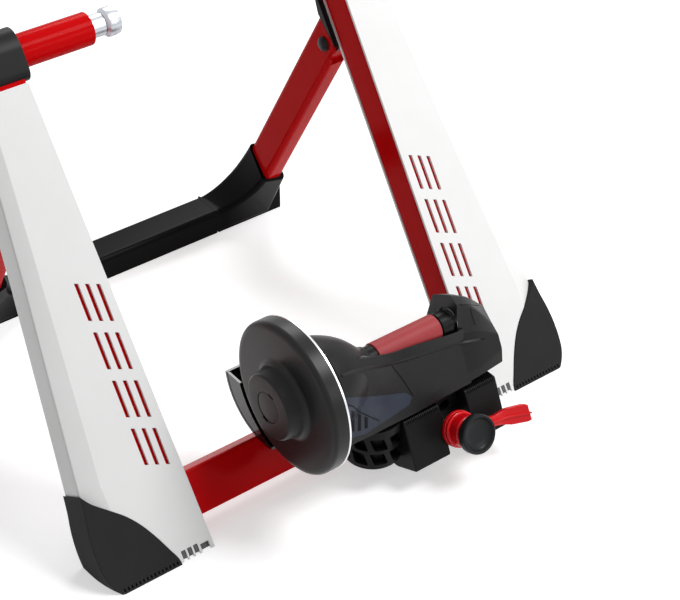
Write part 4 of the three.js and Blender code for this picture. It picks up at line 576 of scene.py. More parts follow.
# %% Slots and notches of the covers
SLOT_GROUPS = 4
SLOT_COUNT = 3
SLOT_FIRST = 190.8
SLOT_STEP = 10.5
SLOT_WIDE = 4.2
SLOT_TALL = 38.5
SLOT_LOW = 94.5
SLOT_PITCH = 50.2
SLOT_SHEAR = 0.4
SLOT_CORNER = 0.8
NOTCH_CORNER = 0.6
NOTCH_LOW = -6
NOTCH_STEP = 7
NOTCHES = [(PAD_INNER_X - NOTCH_STEP * (i + 1) - 0.5, 5, 17.4) for i in range(SLOT_COUNT)]
NOTCHES.append((PAD_INNER_X - NOTCH_STEP * (SLOT_COUNT + 1) - 6, 10, 15))


def bar_slot(x, low, wide, tall, corner, shear=0):
    rise = shear * wide
    corners = [(x, low), (x + wide, low + rise), (x + wide, low + tall + rise), (x, low + tall)]
    return prism("Y", corners, -20, COVER_WALL + GAP, corner, 4)


def cover_slots(shear):
    slots = [bar_slot(SLOT_FIRST + SLOT_STEP * i, SLOT_LOW + SLOT_PITCH * group + shear * SLOT_STEP * i,
                      SLOT_WIDE, SLOT_TALL, SLOT_CORNER, shear)
             for group in range(SLOT_GROUPS) for i in range(SLOT_COUNT)]
    return slots + [bar_slot(x, NOTCH_LOW, wide, tall, NOTCH_CORNER) for x, wide, tall in NOTCHES]


print(SLOT_GROUPS * SLOT_COUNT, "slots and", len(NOTCHES), "notches in each cover")

# %% White leg covers
stations = sorted([-30, 0, 14, *[share * COVER_TOP for share, _ in COVER_SHARES[1:]], 150, 260, 380])
cover = skin([cover_section(along) for along in stations], capped=False)
bmesh.ops.solidify(cover, geom=cover.faces[:], thickness=COVER_WALL)
outward(cover)
bite = prism("Y", pad_outline(GAP), -20, COVER_DEPTH + 20)
cover = carved(cover, [under_floor(GAP), bite])
for side, shear in (("right", -SLOT_SHEAR), ("left", SLOT_SHEAR)):
    slotted = carved(cover.copy(), cover_slots(shear))
    finished(f"white_cover_{side}", slotted, LEG, white_abs, "frame", [f"leg_cover_{side}"],
             mirror=side == "left", edge=0.4)
cover.free()

# %% [markdown]
# Each foot ends in a black rubber pad that wraps the cover's outer corner. It is moulded with rounded
# rims and a row of short teeth at the floor. The outline is a smooth line through a few points, extruded
# through the leg, and the teeth, the leg tube's place and the floor are cut away.

# %% Rubber foot pads
TOOTH_COUNT = 15
TOOTH_STEP = 4.3
TOOTH_WIDE = 1.7
TOOTH_LOW = 1.2
TOOTH_HIGH = 4.6
TOOTH_DEPTH = 1.4
PAD_PROUD = 1.2
PAD_ROUND = 2.4
pad = prism("Y", pad_outline(0), -PAD_PROUD, COVER_DEPTH, edge=PAD_ROUND, edge_steps=4)
place_corners = rectangle(LEG_X - 20, LEG_X + TUBE_WIDTH + GAP, TUBE_LOW - GAP, TUBE_HIGH + GAP)
tube_place = moved(prism("Z", place_corners, -60, 200), SHEAR)
teeth = []
for i in range(TOOTH_COUNT):
    start = PAD_INNER_X + TOOTH_STEP * (i + 1)
    teeth.append(prism("Y", rectangle(start, start + TOOTH_WIDE, TOOTH_LOW, TOOTH_HIGH), -20, TOOTH_DEPTH))
pad = carved(pad, [under_floor(0), tube_place, *teeth])
both_sides("rubber_pad", pad, LEG, foot_rubber, "frame", ["foot_pad"], edge=0.5)

# %% [markdown]
# Smaller parts keep the CAD shape, but no real edge is a knife edge. A copy of the CAD mesh is merged,
# its flat triangles are joined into whole faces, and a bevel modifier rounds what is left.

# %% Function that softens a copy of a CAD node
CAD_WELD = 2e-6


def softened_copy(node, name, material, body, edge, smooth=30):
    bm = bmesh.new()
    bm.from_mesh(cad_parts[node].data)
    bmesh.ops.remove_doubles(bm, verts=bm.verts[:], dist=CAD_WELD)
    bmesh.ops.dissolve_limit(bm, angle_limit=FLAT, verts=bm.verts[:], edges=bm.edges[:])
    return finished(name, bm, Matrix.Identity(4), material, body, [node], edge=edge, smooth=smooth)


for side in ("left", "right"):
    softened_copy(f"foot_strip_{side}", f"grey_strip_{side}", grey_rubber, "frame", 0.3)
    softened_copy(f"hinge_bracket_{side}", f"hinge_tongue_{side}", black_oxide, "frame", 0.4)

# %% [markdown]
# On top of each leg sits a moulded head that grips the axle sleeve. It has rounded shoulders, and the
# left one carries two ears for the quick lever. The shape is a rounded outline, extruded across the leg.

# %% Rods, head and ears
CLAMP_THROUGH = 20
CLAMP_ALONG = 518
HEAD_IN = 178.56
HEAD_OUT = 238
SLEEVE_RADIUS = 17
NECK_RADIUS = 7.5
SPINDLE_RADIUS = 11.7
CAM_HIGH = 20
EAR_RADIUS = 9
EAR_THICK = 5
CAM_HALF = 8.3
PIN_RADIUS = 4
AT_CLAMP = Matrix.Translation((0, CLAMP_THROUGH, CLAMP_ALONG))
HEAD_CORNER = 10.8
HEAD_EDGE = 4.6
HEAD_OUTLINE = ((-20.3, -29), (25, -29), (27, 0), (16.2, 22.95), (-10.8, 27), (-22.95, 10.8))


def rod(radius, low, high, axis="X", steps=48):
    return turned([(0, low), (radius, low), (radius, high), (0, high)], axis, steps)


def head_block():
    return moved(prism("X", HEAD_OUTLINE, HEAD_IN, HEAD_OUT, HEAD_CORNER, 8, HEAD_EDGE, 5),
                 AT_CLAMP)


def head_hollows(end_radius):
    socket = prism("Z", rectangle(LEG_X - GAP, LEG_X + TUBE_WIDTH + GAP, TUBE_LOW - GAP, TUBE_HIGH + GAP),
                   0, CLAMP_ALONG - SLEEVE_RADIUS - GAP, LEG_TUBE_CORNER)
    return [moved(socket, SHEAR), moved(rod(SLEEVE_RADIUS + GAP, 0, HEAD_OUT - 8), AT_CLAMP),
            moved(rod(end_radius + GAP, 0, HEAD_OUT + 10), AT_CLAMP)]


def ear(low, high):
    corners = rectangle(HEAD_OUT - EAR_RADIUS, HEAD_OUT + CAM_HIGH + EAR_RADIUS, -EAR_RADIUS, EAR_RADIUS)
    return moved(prism("Z", corners, low, high, 6.3, 6, 0.8, 2), AT_CLAMP)


print("axle clamp", CLAMP_ALONG, "mm up the leg")

# %% Leg heads
finished("head_moulding_right", carved(head_block(), head_hollows(SPINDLE_RADIUS)), LEG, charcoal_nylon,
         "frame", ["head_right"], edge=0.4)
ears = [ear(CAM_HALF, CAM_HALF + EAR_THICK), ear(-CAM_HALF - EAR_THICK, -CAM_HALF)]
left_head = carved(head_block(), ears, "UNION")
at_pin = AT_CLAMP @ Matrix.Translation((HEAD_OUT + CAM_HIGH, 0, 0))
pin_hole = moved(rod(PIN_RADIUS + GAP, -60, 60, "Z"), at_pin)
left_head = carved(left_head, [*head_hollows(NECK_RADIUS), pin_hole])
finished("head_moulding_left", left_head, LEG, charcoal_nylon, "frame", ["head_left"],
         mirror=True, edge=0.4)

# %% [markdown]
# The axle is held between two steel cups. Each rides on a spindle in an enamelled sleeve. The right
# spindle is threaded and set by a lobed nut, and the left one is pushed by a cam lever. All are turned.

# %% Sleeves and cups
CUP_FACE = 66
CUP_BACK = 82
sleeve = turned([(12, 98), (16, 98), (16.7, 98.3), (17, 99), (17, 229.7), (12, 229.7), (12, 98)])
both_sides("axle_sleeve", moved(sleeve, AT_CLAMP), LEG, red_enamel, "frame", ["clamp_sleeve"])
cup = turned([(6.3, CUP_BACK), (6.3, 72), (8.5, 66.2), (8.9, CUP_FACE), (13.2, CUP_FACE), (14, 66.5),
              (15, 71.6), (15, 77.6), (14.6, 79.4), (11.7, CUP_BACK), (6.3, CUP_BACK)])
for side in ("right", "left"):
    finished(f"steel_cup_{side}", moved(cup.copy(), AT_CLAMP), LEG, zinc_plate, f"{side}_spindle",
             [f"axle_cup_{side}"], mirror=side == "left")
cup.free()

# %% Spindles
NOSE_END = 75
THREAD_START = 240
THREAD_STEP = 3
THREAD_END = 268
THREAD_ROOT = 10.3
THREAD_CREST = 11.3
nose = [(0, NOSE_END), (6, NOSE_END), (6, 82.3), (SPINDLE_RADIUS, 82.8)]
thread = []
for along in range(THREAD_START, THREAD_END - 2, THREAD_STEP):
    thread += [(THREAD_ROOT, along), (THREAD_CREST, along + THREAD_STEP / 2)]
threaded = turned([*nose, (SPINDLE_RADIUS, 232), *thread, (THREAD_ROOT, 266), (9.6, THREAD_END),
                   (0, THREAD_END)])
finished("threaded_spindle", moved(threaded, AT_CLAMP), LEG, zinc_plate, "right_spindle", ["spindle_right"])
dome = [(NECK_RADIUS, 230), (6.5, 233.6), (5.3, 235.2), (3.75, 236.4), (1.9, 237.15), (0, 237.4)]
pushed = turned([*nose, (SPINDLE_RADIUS, 217.5), (11.2, 218), (NECK_RADIUS, 218), *dome])
finished("pushed_spindle", moved(pushed, AT_CLAMP), LEG, zinc_plate, "left_spindle", ["spindle_left"],
         mirror=True)

# %% Ring nut
NUT_START = 238.3
NUT_END = 256.3
NUT_LOBES = 6
NUT_RADIUS = 24
NUT_DIP = 21
lobes = []
for i in range(4 * NUT_LOBES):
    reach, angle = NUT_DIP if i % 4 == 2 else NUT_RADIUS, i * math.tau / (4 * NUT_LOBES)
    lobes.append((reach * math.cos(angle), reach * math.sin(angle)))
nut = carved(prism("X", lobes, NUT_START, NUT_END, 3, 5, 1.6, 4), [rod(SPINDLE_RADIUS + 2 * GAP, 200, 300)])
finished("lobed_nut", moved(nut, AT_CLAMP), LEG, charcoal_nylon, "right_nut", ["ring_nut"], edge=0.4)

# %% [markdown]
# The left clamp closes with a red quick lever whose root is a spiral cam: as the lever swings, the cam's
# radius falls evenly and lets the spindle back. The cam's rim is stepped round in code, the arm is a
# rounded outline, and a union joins them.

# %% Quick lever
CAM_LOW = 10
CAM_SWING = math.radians(100)
CAM_STEPS = 24
LEVER_LENGTH = 96
LEVER_TIP = 13
LEVER_HALF = 5
CAM_THICK = 8
spiral = []
for i in range(CAM_STEPS + 1):
    reach = CAM_HIGH - (CAM_HIGH - CAM_LOW) * i / CAM_STEPS - GAP
    turn = -CAM_SWING * i / CAM_STEPS
    spiral.append((reach * math.cos(turn), reach * math.sin(turn)))
for i in range(1, CAM_STEPS):
    turn = -CAM_SWING - (math.tau - CAM_SWING - math.pi / 2) * i / CAM_STEPS
    spiral.append(((CAM_LOW - GAP) * math.cos(turn), (CAM_LOW - GAP) * math.sin(turn)))
spiral += [(0, CAM_LOW * 1.4), (CAM_HIGH * 0.72, CAM_HIGH * 0.66)]
arm = [(-CAM_LOW, 0), (CAM_LOW * 0.8, 0), (LEVER_TIP * 0.2, LEVER_LENGTH / 2),
       (LEVER_TIP / 2, LEVER_LENGTH), (-LEVER_TIP / 2, LEVER_LENGTH), (-LEVER_TIP, LEVER_LENGTH / 2)]
arm = prism("Z", arm, -LEVER_HALF, LEVER_HALF, 5, 6, 1.8, 4)
lever = carved(prism("Z", spiral, -CAM_THICK, CAM_THICK, edge=0.8), [arm], "UNION")
lever = carved(lever, [rod(PIN_RADIUS + GAP, -60, 60, "Z")])
AT_CAM = Matrix.Translation((-HEAD_OUT - CAM_HIGH, CLAMP_THROUGH, CLAMP_ALONG))
finished("red_quick_lever", moved(lever, AT_CAM), LEG, red_acetal, "left_lever", ["quick_lever"], edge=0.5)
pin_half = CAM_HALF + EAR_THICK + PIN_RADIUS / 2
pin = turned([(0, -pin_half), (3.2, -pin_half), (4, -pin_half + 0.8), (4, pin_half - 0.8), (3.2, pin_half),
              (0, pin_half)], "Z")
finished("cam_pin", moved(pin, AT_CAM), LEG, zinc_plate, "frame", ["lever_pin"])

# %% [markdown]
# The front legs fold about a bolt with a domed black head and a steel nut. The dome is turned. The nut
# is a hexagon, and its outer corners are turned off by keeping only what it shares with a turned piece.

# %% Hinge bolts and nuts
FRONT_IN = 178.2
FRONT_OUT = 205.2
HEX_RADIUS = 8.5
HEX_THICK = 6
BOLT_HOLE = 5.3
AT_BOLT = Matrix.Translation((0, BOLT_THROUGH, BOLT_ALONG))
bolt = turned([(0, 173.2), (3.6, 173.35), (6.4, 174.1), (8, 175.7), (8.5, 177.4), (8.5, 177.9), (5, 177.9),
               (5, 211), (4.4, 211.8), (0, 211.8)])
both_sides("domed_bolt", moved(bolt, AT_BOLT), LEG, black_oxide, "frame", ["pivot_bolt"])
hexagon = [(HEX_RADIUS * math.cos(i * math.tau / 6), HEX_RADIUS * math.sin(i * math.tau / 6))
           for i in range(6)]
hex_nut = prism("X", hexagon, FRONT_OUT + GAP, FRONT_OUT + GAP + HEX_THICK)
hex_nut = carved(hex_nut, [rod(BOLT_HOLE, 190, 230)])
limit = turned([(5, 204), (8.9, 204), (8.9, 210.6), (7.4, 211.6), (5, 211.6), (5, 204)])
hex_nut = carved(hex_nut, [limit], "INTERSECT")
both_sides("hex_nut", moved(hex_nut, AT_BOLT), LEG, zinc_plate, "frame", ["pivot_nut"])

# %% [markdown]
# The front legs are narrower and have rounder corners. Both ends of each tube are closed from view, so
# the leg is one prism. Its top is cut to a slope, notched for the hinge tongue and rounded where it
# sweeps past the main leg, so that the frame can fold.

# %% Front legs
FRONT_REAR = -18
FRONT_FACE = 24.4
FRONT_LENGTH = FRONT.translation.z / MM / math.cos(math.radians(FRONT_LEAN)) - 74.3
FRONT_MIDDLE = (FRONT_IN + FRONT_OUT) / 2
FRONT_CORNER = 7
FRONT_TOP = 22
TONGUE_HALF = 9.1
SWEEP = 16
PAST_REAR = -38
SWEEP_START = math.radians(207)
SWEEP_END = math.radians(124)
SWEEP_STEPS = 14
leg = prism("Z", rectangle(FRONT_IN, FRONT_OUT, FRONT_REAR, FRONT_FACE), -FRONT_LENGTH, FRONT_TOP,
            FRONT_CORNER, 8)
arc = [SWEEP_START + (SWEEP_END - SWEEP_START) * i / SWEEP_STEPS for i in range(SWEEP_STEPS + 1)]
sweep = [(PAST_REAR, PAST_REAR * math.tan(SWEEP_START)),
         *[(SWEEP * math.cos(a), SWEEP * math.sin(a)) for a in arc],
         (-18, 41), (PAST_REAR, 41)]
slope = [(PAST_REAR, 7.17), (44.4, 25.43), (44.4, 61), (PAST_REAR, 61)]
notch = rectangle(FRONT_MIDDLE - TONGUE_HALF, FRONT_MIDDLE + TONGUE_HALF, -19, 41)
notch = prism("Y", notch, PAST_REAR, -13.6)
leg = carved(leg, [prism("X", sweep, 150, 230), prism("X", slope, 150, 230), notch,
                   rod(BOLT_HOLE, 150, 230)])
both_sides("enamelled_front_leg", leg, FRONT, red_enamel, "front_frame", ["front_leg"])

# %% [markdown]
# A moulded elbow takes each front leg down into the ground bar. Its inner top swoops from the sleeve
# into the bar in one curve, and its heel turns a plain corner. Rings of four points follow both curves,
# a skin joins them, and the four long edges are rounded. The stub that reaches the bar is united with it.

# %% Ground bar shape
BAR_Y = 468.27
BAR_Z = 15.5
BAR_HALF = 22
BAR_HALF_HEIGHT = 15.5
BAR_JOINT = 128
BAR_END = 225
BAR_ROUND = 6.5
BAR_FOOT_ROUND = 1.5
SPIGOT = 16
TO_FRONT = FRONT.inverted() @ STAND
TO_STAND = STAND.inverted() @ FRONT


def bar_length(low, high, shrink=0, edge=0):
    corners = rectangle(BAR_Y - BAR_HALF + shrink, BAR_Y + BAR_HALF - shrink,
                        BAR_Z - BAR_HALF_HEIGHT + shrink, BAR_Z + BAR_HALF_HEIGHT - shrink)
    bm = prism("X", corners, low, high, edge=edge, edge_steps=4)
    along = [e for e in bm.edges if abs((e.verts[0].co - e.verts[1].co).x) > 0.9 * (high - low) - 2 * edge]
    rounded(bm, [e for e in along if e.verts[0].co.z > BAR_Z], BAR_ROUND - shrink, 6)
    foot = [e for e in along if e.is_valid and e.verts[0].co.z < BAR_Z - BAR_HALF_HEIGHT / 2]
    return rounded(bm, foot, BAR_FOOT_ROUND, 3)


print("ground bar", 2 * BAR_JOINT, "mm between its joints")

# %% Curves of the elbow
SLEEVE_WALL = 2.6
SLEEVE_IN = FRONT_IN - SLEEVE_WALL
SLEEVE_OUT = FRONT_OUT + SLEEVE_WALL
SLEEVE_REAR = FRONT_REAR - SLEEVE_WALL
SLEEVE_FACE = FRONT_FACE + SLEEVE_WALL
SLEEVE_TOP = -FRONT_LENGTH + 40.5
SLEEVE_SPARE = 12
BEND_START = 134
BEND_STEPS = 22
BEND_HEIGHT = 12


def sleeve_corner(x, through, height):
    """The point of a sleeve's edge that lies at a height above the floor, in the stand's frame."""
    top = TO_STAND @ Vector((x, through, SLEEVE_TOP + SLEEVE_SPARE))
    down = TO_STAND @ Vector((x, through, SLEEVE_TOP + SLEEVE_SPARE - 100)) - top
    return top + down * ((top.z - height) / -down.z)


def swoop(y, through, t):
    start = Vector((BEND_START, y, 2 * BAR_HALF_HEIGHT))
    corner = sleeve_corner(SLEEVE_IN - SLEEVE_WALL, through, 2 * BAR_HALF_HEIGHT + BEND_HEIGHT)
    end = TO_STAND @ Vector((SLEEVE_IN, through, SLEEVE_TOP + SLEEVE_SPARE))
    return start * (1 - t) ** 2 + corner * 2 * t * (1 - t) + end * t * t


def heel(y, through, t):
    start = Vector((BEND_START, y, 0))
    corner = sleeve_corner(SLEEVE_OUT, through, 0)
    corner.y = y
    end = TO_STAND @ Vector((SLEEVE_OUT, through, SLEEVE_TOP + SLEEVE_SPARE))
    return start.lerp(corner, 2 * t) if t < 0.5 else corner.lerp(end, 2 * t - 1)


print("sleeve top", round(SLEEVE_TOP, 1), "mm along the front leg")

# %% Elbows
MOUTH_REAR_FALL = 0.34
MOUTH_FACE_RISE = 0.3
MOUTH_SIDE_FALL = 0.25
bar_rear, bar_face = BAR_Y - BAR_HALF, BAR_Y + BAR_HALF
rings = [[Vector((BAR_JOINT, y, z)) for y, z in rectangle(bar_rear, bar_face, 0, 2 * BAR_HALF_HEIGHT)]]
for i in range(BEND_STEPS + 1):
    t = i / BEND_STEPS
    rings.append([heel(bar_rear, SLEEVE_REAR, t), heel(bar_face, SLEEVE_FACE, t),
                  swoop(bar_face, SLEEVE_FACE, t), swoop(bar_rear, SLEEVE_REAR, t)])
sleeve = skin(rings)
ring_of = {v: i // 4 for i, v in enumerate(sleeve.verts)}
rounded(sleeve, [e for e in sleeve.edges if ring_of[e.verts[0]] != ring_of[e.verts[1]]], BAR_ROUND, 5)
moved(sleeve, TO_FRONT)
rear, face = FRONT_REAR - 40, FRONT_FACE + 40
above = prism("X", [(face, SLEEVE_TOP + 40 * MOUTH_FACE_RISE), (face, SLEEVE_TOP + 90),
                    (rear, SLEEVE_TOP + 90), (rear, SLEEVE_TOP - (FRONT_FACE - rear) * MOUTH_REAR_FALL)],
              0, 300)
for vert in above.verts:
    vert.co.z -= MOUTH_SIDE_FALL * (vert.co.x - SLEEVE_IN)
sleeve = carved(sleeve, [above])
socket = prism("Z", rectangle(FRONT_IN - GAP, FRONT_OUT + GAP, FRONT_REAR - GAP, FRONT_FACE + GAP),
               -FRONT_LENGTH - GAP, 20, FRONT_CORNER, 8)
ground = prism("Z", rectangle(-REACH, REACH, 0, 2 * REACH), -REACH, 0)
spigot_hole = bar_length(BAR_JOINT - 20, BAR_JOINT + SPIGOT + GAP, 3)
elbow = carved(moved(bar_length(BAR_JOINT, BAR_END, 0, 4), TO_FRONT), [sleeve], "UNION")
elbow = carved(elbow, [socket, moved(ground, TO_FRONT), moved(spigot_hole, TO_FRONT)])
both_sides("swooped_elbow", elbow, FRONT, black_polypropylene, "front_frame", ["elbow"], edge=0.6)

# %% Ground bar
bar = carved(bar_length(-BAR_JOINT + GAP, BAR_JOINT - GAP),
             [bar_length(-BAR_JOINT - SPIGOT, BAR_JOINT + SPIGOT, 3.3)], "UNION")
finished("ground_bar", moved(bar, TO_FRONT), FRONT, black_polypropylene, "front_frame", ["front_bar"],
         edge=0.4)

# %% [markdown]
# The carrier straddles the cross tube between two ribbed cheeks. The ribs on top are fine, about two
# millimetres apart, and they catch the light as a row of teeth. The grooves between them are cut one by
# one from a rounded prism, and each also notches the rear edge.

# %% Carrier and its cheeks
RIB_STEP = 2.3
RIB_WIDTH = 1.0
RIB_DEPTH = 1.1
RIB_LENGTH = 30
RIB_REACH = 20
CHEEK_TOP_Y = -38
CHEEK_TOP_Z = 79
CHEEKS = {"left": (28, 74), "right": (108, 150)}
seat_low, seat_high = [STAND.inverted() @ LEG @ Vector((0, CROSS_REAR - 5.6, height - 4))
                       for height in (CROSS_LOW, CROSS_LOW + CROSS_HEIGHT)]
cheek_corners = [(CHEEK_TOP_Y, CHEEK_TOP_Z), (-60.78, 27.84), (-29.72, 14), (9, 14),
                 (seat_low.y, seat_low.z), (seat_high.y, seat_high.z), (29, CHEEK_TOP_Z)]
rib_floor, rib_end = CHEEK_TOP_Z - RIB_DEPTH, CHEEK_TOP_Y + RIB_LENGTH
rib = [(CHEEK_TOP_Y - RIB_REACH, rib_floor - 3), (CHEEK_TOP_Y + 1.2, rib_floor - 3),
       (CHEEK_TOP_Y + 2.4, rib_floor), (rib_end, rib_floor), (rib_end, CHEEK_TOP_Z + RIB_REACH),
       (CHEEK_TOP_Y - RIB_REACH, CHEEK_TOP_Z + RIB_REACH)]
for side, (low, high) in CHEEKS.items():
    block = prism("X", cheek_corners, low, high, 2, 4, 1.4, 3)
    count = int((high - low - 3) / RIB_STEP)
    start = low + (high - low - (count - 1) * RIB_STEP - RIB_WIDTH) / 2
    ribs = [prism("X", rib, start + RIB_STEP * i, start + RIB_STEP * i + RIB_WIDTH) for i in range(count)]
    finished(f"ribbed_cheek_{side}", carved(block, ribs), STAND, carrier_nylon, "carrier", [f"cheek_{side}"])
softened_copy("carrier_saddle", "carrier_body", carrier_nylon, "carrier", 0.8)
softened_copy("tilt_pin", "steel_tilt_pin", zinc_plate, "carrier", 0.5)

# %% [markdown]
# The quick clamp has a red collar with stepped flanges, a red lever with a bent paddle, and a black hand
# knob with a dished face. The collar and knob are turned about the rod. The lever's blade is extruded
# with a ridge along it, cut across many times, and its outer half is then bent along a smooth curve.

# %% Clamp collar and seat
FLANGE = 19.5
ROD_HOLE = 4.4
lathe = Matrix.Rotation(math.pi, 4, "Z")
seat = turned([(ROD_HOLE, 0.3), (19, 0.3), (FLANGE, 0.8), (FLANGE, 4.5), (19, 5), (ROD_HOLE, 5),
               (ROD_HOLE, 0.3)], "Y")
finished("red_cam_seat", moved(seat, lathe), CLAMP, red_acetal, "carrier", ["cam_seat"])
collar = turned([(ROD_HOLE, 5.3), (18.5, 5.3), (19, 5.8), (19, 8.4), (18.5, 8.9), (17.6, 9.2), (17.2, 9.8),
                 (17.2, 12.2), (17.5, 12.7), (17.5, 20.6), (17, 21.8), (15.6, 22.9), (14.5, 23),
                 (ROD_HOLE, 23), (ROD_HOLE, 5.3)], "Y")
collar = moved(collar, lathe)
print("collar", len(collar.faces), "faces")

# %% Clamp lever
BLADE = ((0, -9), (16, -8.6), (24, -6.4), (37, -5.6), (46, -7), (56, -9.6), (72, -9.8), (76, -8.4),
         (74.6, 0), (73.6, 8.6), (69.5, 9.8), (52, 9.2), (44, 6.6), (36, 5.4), (24, 6.6), (16, 9), (0, 9))
SPINE = ((14, -1.4), (76, -1), (75, 1), (14, 1.4))
BLADE_CUTS = range(16, 76, 4)
BEND_FROM = 46
BEND_RISE = 0.34 / 2.1
BEND_POWER = 1.25
paddle = carved(prism("Y", BLADE, -17.5, -12, 1.2, 3, 1.1, 3),
                [prism("Y", SPINE, -19.4, -13, 0.8, 2, 0.9, 3)], "UNION")
for x in BLADE_CUTS:
    bmesh.ops.bisect_plane(paddle, geom=paddle.verts[:] + paddle.edges[:] + paddle.faces[:], dist=1e-5,
                           plane_co=(x, 0, 0), plane_no=(1, 0, 0))
for vert in paddle.verts:
    vert.co.y -= BEND_RISE * max(0, vert.co.x - BEND_FROM) ** BEND_POWER
lever = carved(carved(collar, [paddle], "UNION"), [rod(ROD_HOLE, -60, 60, "Y")])
LEVER_TURN = Matrix.Rotation(math.radians(7), 4, "Y")
finished("red_clamp_lever", moved(lever, LEVER_TURN), CLAMP, red_acetal, "clamp_lever", ["cam_lever"],
         edge=0.3)

# %% Hand knob, hook and rod
knob = turned([(0, 31.3), (4.3, 31.3), (4.3, 23.4), (11.4, 23.4), (12, 24), (12.8, 26.6), (15.5, 27.6),
               (19.6, 28.4), (20.7, 29.6), (21, 31.2), (21, 36), (20.7, 37.2), (19.9, 38.2), (18.9, 38.4),
               (17.8, 38), (17.1, 37), (16, 34.8), (13.6, 33.4), (9, 32.7), (4, 32.5), (0, 32.5)], "Y", 96)
finished("hand_knob", moved(knob, lathe), CLAMP, knob_nylon, "clamp_knob", ["knob"])
softened_copy("clamp_hook", "hook_strap", black_oxide, "clamp_slider", 0.5)
softened_copy("clamp_rod", "clamp_thread_rod", zinc_plate, "clamp_slider", 0.4)

# %% [markdown]
# The brake housing is the hardest moulding: a ridge runs from the big bell beside the flywheel, along
# the roller's trough, and up into a tower that holds the far bearing. Each stretch is a skin through a
# few sections on smooth curves. Unions join them, and the trough, seats and bore are cut out.

# %% Sections of the brake housing
SHELL = 50
BODY = (
    (-1.14, ((-0.74, 0.68), (-0.72, -0.42), (-0.70, -1.22), (-0.54, -1.39), (0.50, -1.39), (0.76, -1.12),
             (0.78, 0.28), (0.44, 0.68), (-0.20, 0.80), (-0.50, 0.78))),
    (-0.34, ((-0.62, 0.43), (-0.68, -0.52), (-0.70, -1.27), (-0.54, -1.39), (0.54, -1.39), (0.76, -1.20),
             (0.70, -0.04), (0.42, 0.24), (-0.10, 0.50), (-0.42, 0.54))),
    (0.4, ((-0.44, 0.05), (-0.58, -0.78), (-0.68, -1.30), (-0.54, -1.39), (0.54, -1.39), (0.74, -1.24),
           (0.64, -0.44), (0.44, -0.36), (0.00, -0.20), (-0.31, 0.24))),
    (0.96, ((-0.41, -0.08), (-0.63, -1.06), (-0.68, -1.30), (-0.54, -1.39), (0.54, -1.39), (0.74, -1.24),
            (0.62, -0.52), (0.44, -0.44), (0.00, -0.30), (-0.32, 0.16))),
    (1.7, ((-0.38, -0.27), (-0.62, -1.06), (-0.66, -1.29), (-0.53, -1.39), (0.54, -1.39), (0.74, -1.24),
           (0.62, -0.52), (0.44, -0.44), (0.00, -0.32), (-0.33, 0.04))),
    (2.36, ((-0.34, -0.42), (-0.60, -1.06), (-0.65, -1.28), (-0.52, -1.39), (0.54, -1.39), (0.74, -1.24),
            (0.62, -0.52), (0.44, -0.44), (0.00, -0.32), (-0.32, -0.06))))
TOWER = (
    (2.22, ((-0.65, -1.25), (-0.59, -1.06), (-0.27, -0.24), (-0.24, 0.53), (-0.03, 0.67), (0.52, 0.36),
            (0.68, -0.27), (0.70, -1.25))),
    (2.7, ((-0.64, -1.22), (-0.60, -1.00), (-0.38, -0.28), (-0.22, 0.24), (0.02, 0.38), (0.46, 0.18),
           (0.64, -0.34), (0.68, -1.22))),
    (3.24, ((-0.60, -1.20), (-0.56, -0.86), (-0.42, -0.57), (-0.20, -0.40), (0.10, -0.14), (0.36, -0.20),
            (0.56, -0.46), (0.60, -1.20))))
BELL = ((0, 1), (0.18, 0.95), (0.36, 0.87), (0.52, 0.77), (0.66, 0.65), (0.79, 0.5), (0.9, 0.36), (1, 0.31))
BELL_START = -57
BELL_LENGTH = 60.7


def moulded(shares, steps, width):
    sections = [[Vector((x, y, z)) * SHELL for y, z in points] for x, points in shares]
    bm = skin(glide(sections, steps))
    long_edges = [e for e in bm.edges if abs((e.verts[0].co - e.verts[1].co).x) > 0.5]
    return rounded(bm, long_edges, width, 3)


print(len(BODY), "sections of the body,", len(TOWER), "of the tower")

# %% Body, tower, bell and lugs in one
PIN_Y, PIN_Z = 67, -71.3
PIN_HOLE = 4.3
LUG_THICK = 8


def lug(low):
    corners = [(PIN_Y - 40, PIN_Z + 4.8), (PIN_Y, PIN_Z - 8), (PIN_Y + 8, PIN_Z - 8), (PIN_Y + 8, PIN_Z + 8),
               (PIN_Y - 40, PIN_Z + 32)]
    hole = moved(rod(PIN_HOLE, low - 20, low + 20), Matrix.Translation((0, PIN_Y, PIN_Z)))
    return carved(prism("X", corners, low, low + LUG_THICK, 7.2, 6), [hole])


bell_side = [(r * SHELL, BELL_START + share * BELL_LENGTH) for share, r in smooth_line(BELL, 3)]
bell = turned([(0, BELL_START), *bell_side, (0, BELL_START + BELL_LENGTH)], steps=96)
whole = carved(moulded(BODY, 5, 1.6), [moulded(TOWER, 4, 1.8), bell, lug(34.3), lug(135.7)], "UNION")
print("housing blank", len(whole.faces), "faces")

# %% [markdown]
# Fine moulded lines cross the housing, and a low bead runs along its lip. Each is drawn as points of the
# photograph, and straight rays from the camera find where those points lie on the moulding. A slender
# skin with four corners follows them. It is cut out for a line and joined on for the bead.

# %% Trough, seats and moulded lines
TROUGH_RADIUS = 16.6
RECESS_RADIUS = 15.2
LEFT_SEAT = 14.3
RIGHT_SEAT = 13.2
SHAFT_BORE = 9
GROOVES = (((470, 300), (471, 311), (475, 325)), ((474, 340.5), (479, 340), (485, 338.6)),
           ((392, 366), (403, 380), (413, 396)), ((459, 305), (468, 304.8), (479, 305.5)))
RIDGE = ((342, 376), (352, 372), (367, 368.3), (391, 364), (420, 355.5), (450, 346), (470, 341.5),
         (480, 339.6))
GROOVE_SHAPE = (0.55, 2, 0.77)
RIDGE_SHAPE = (1.7, 1.3, 1.4)


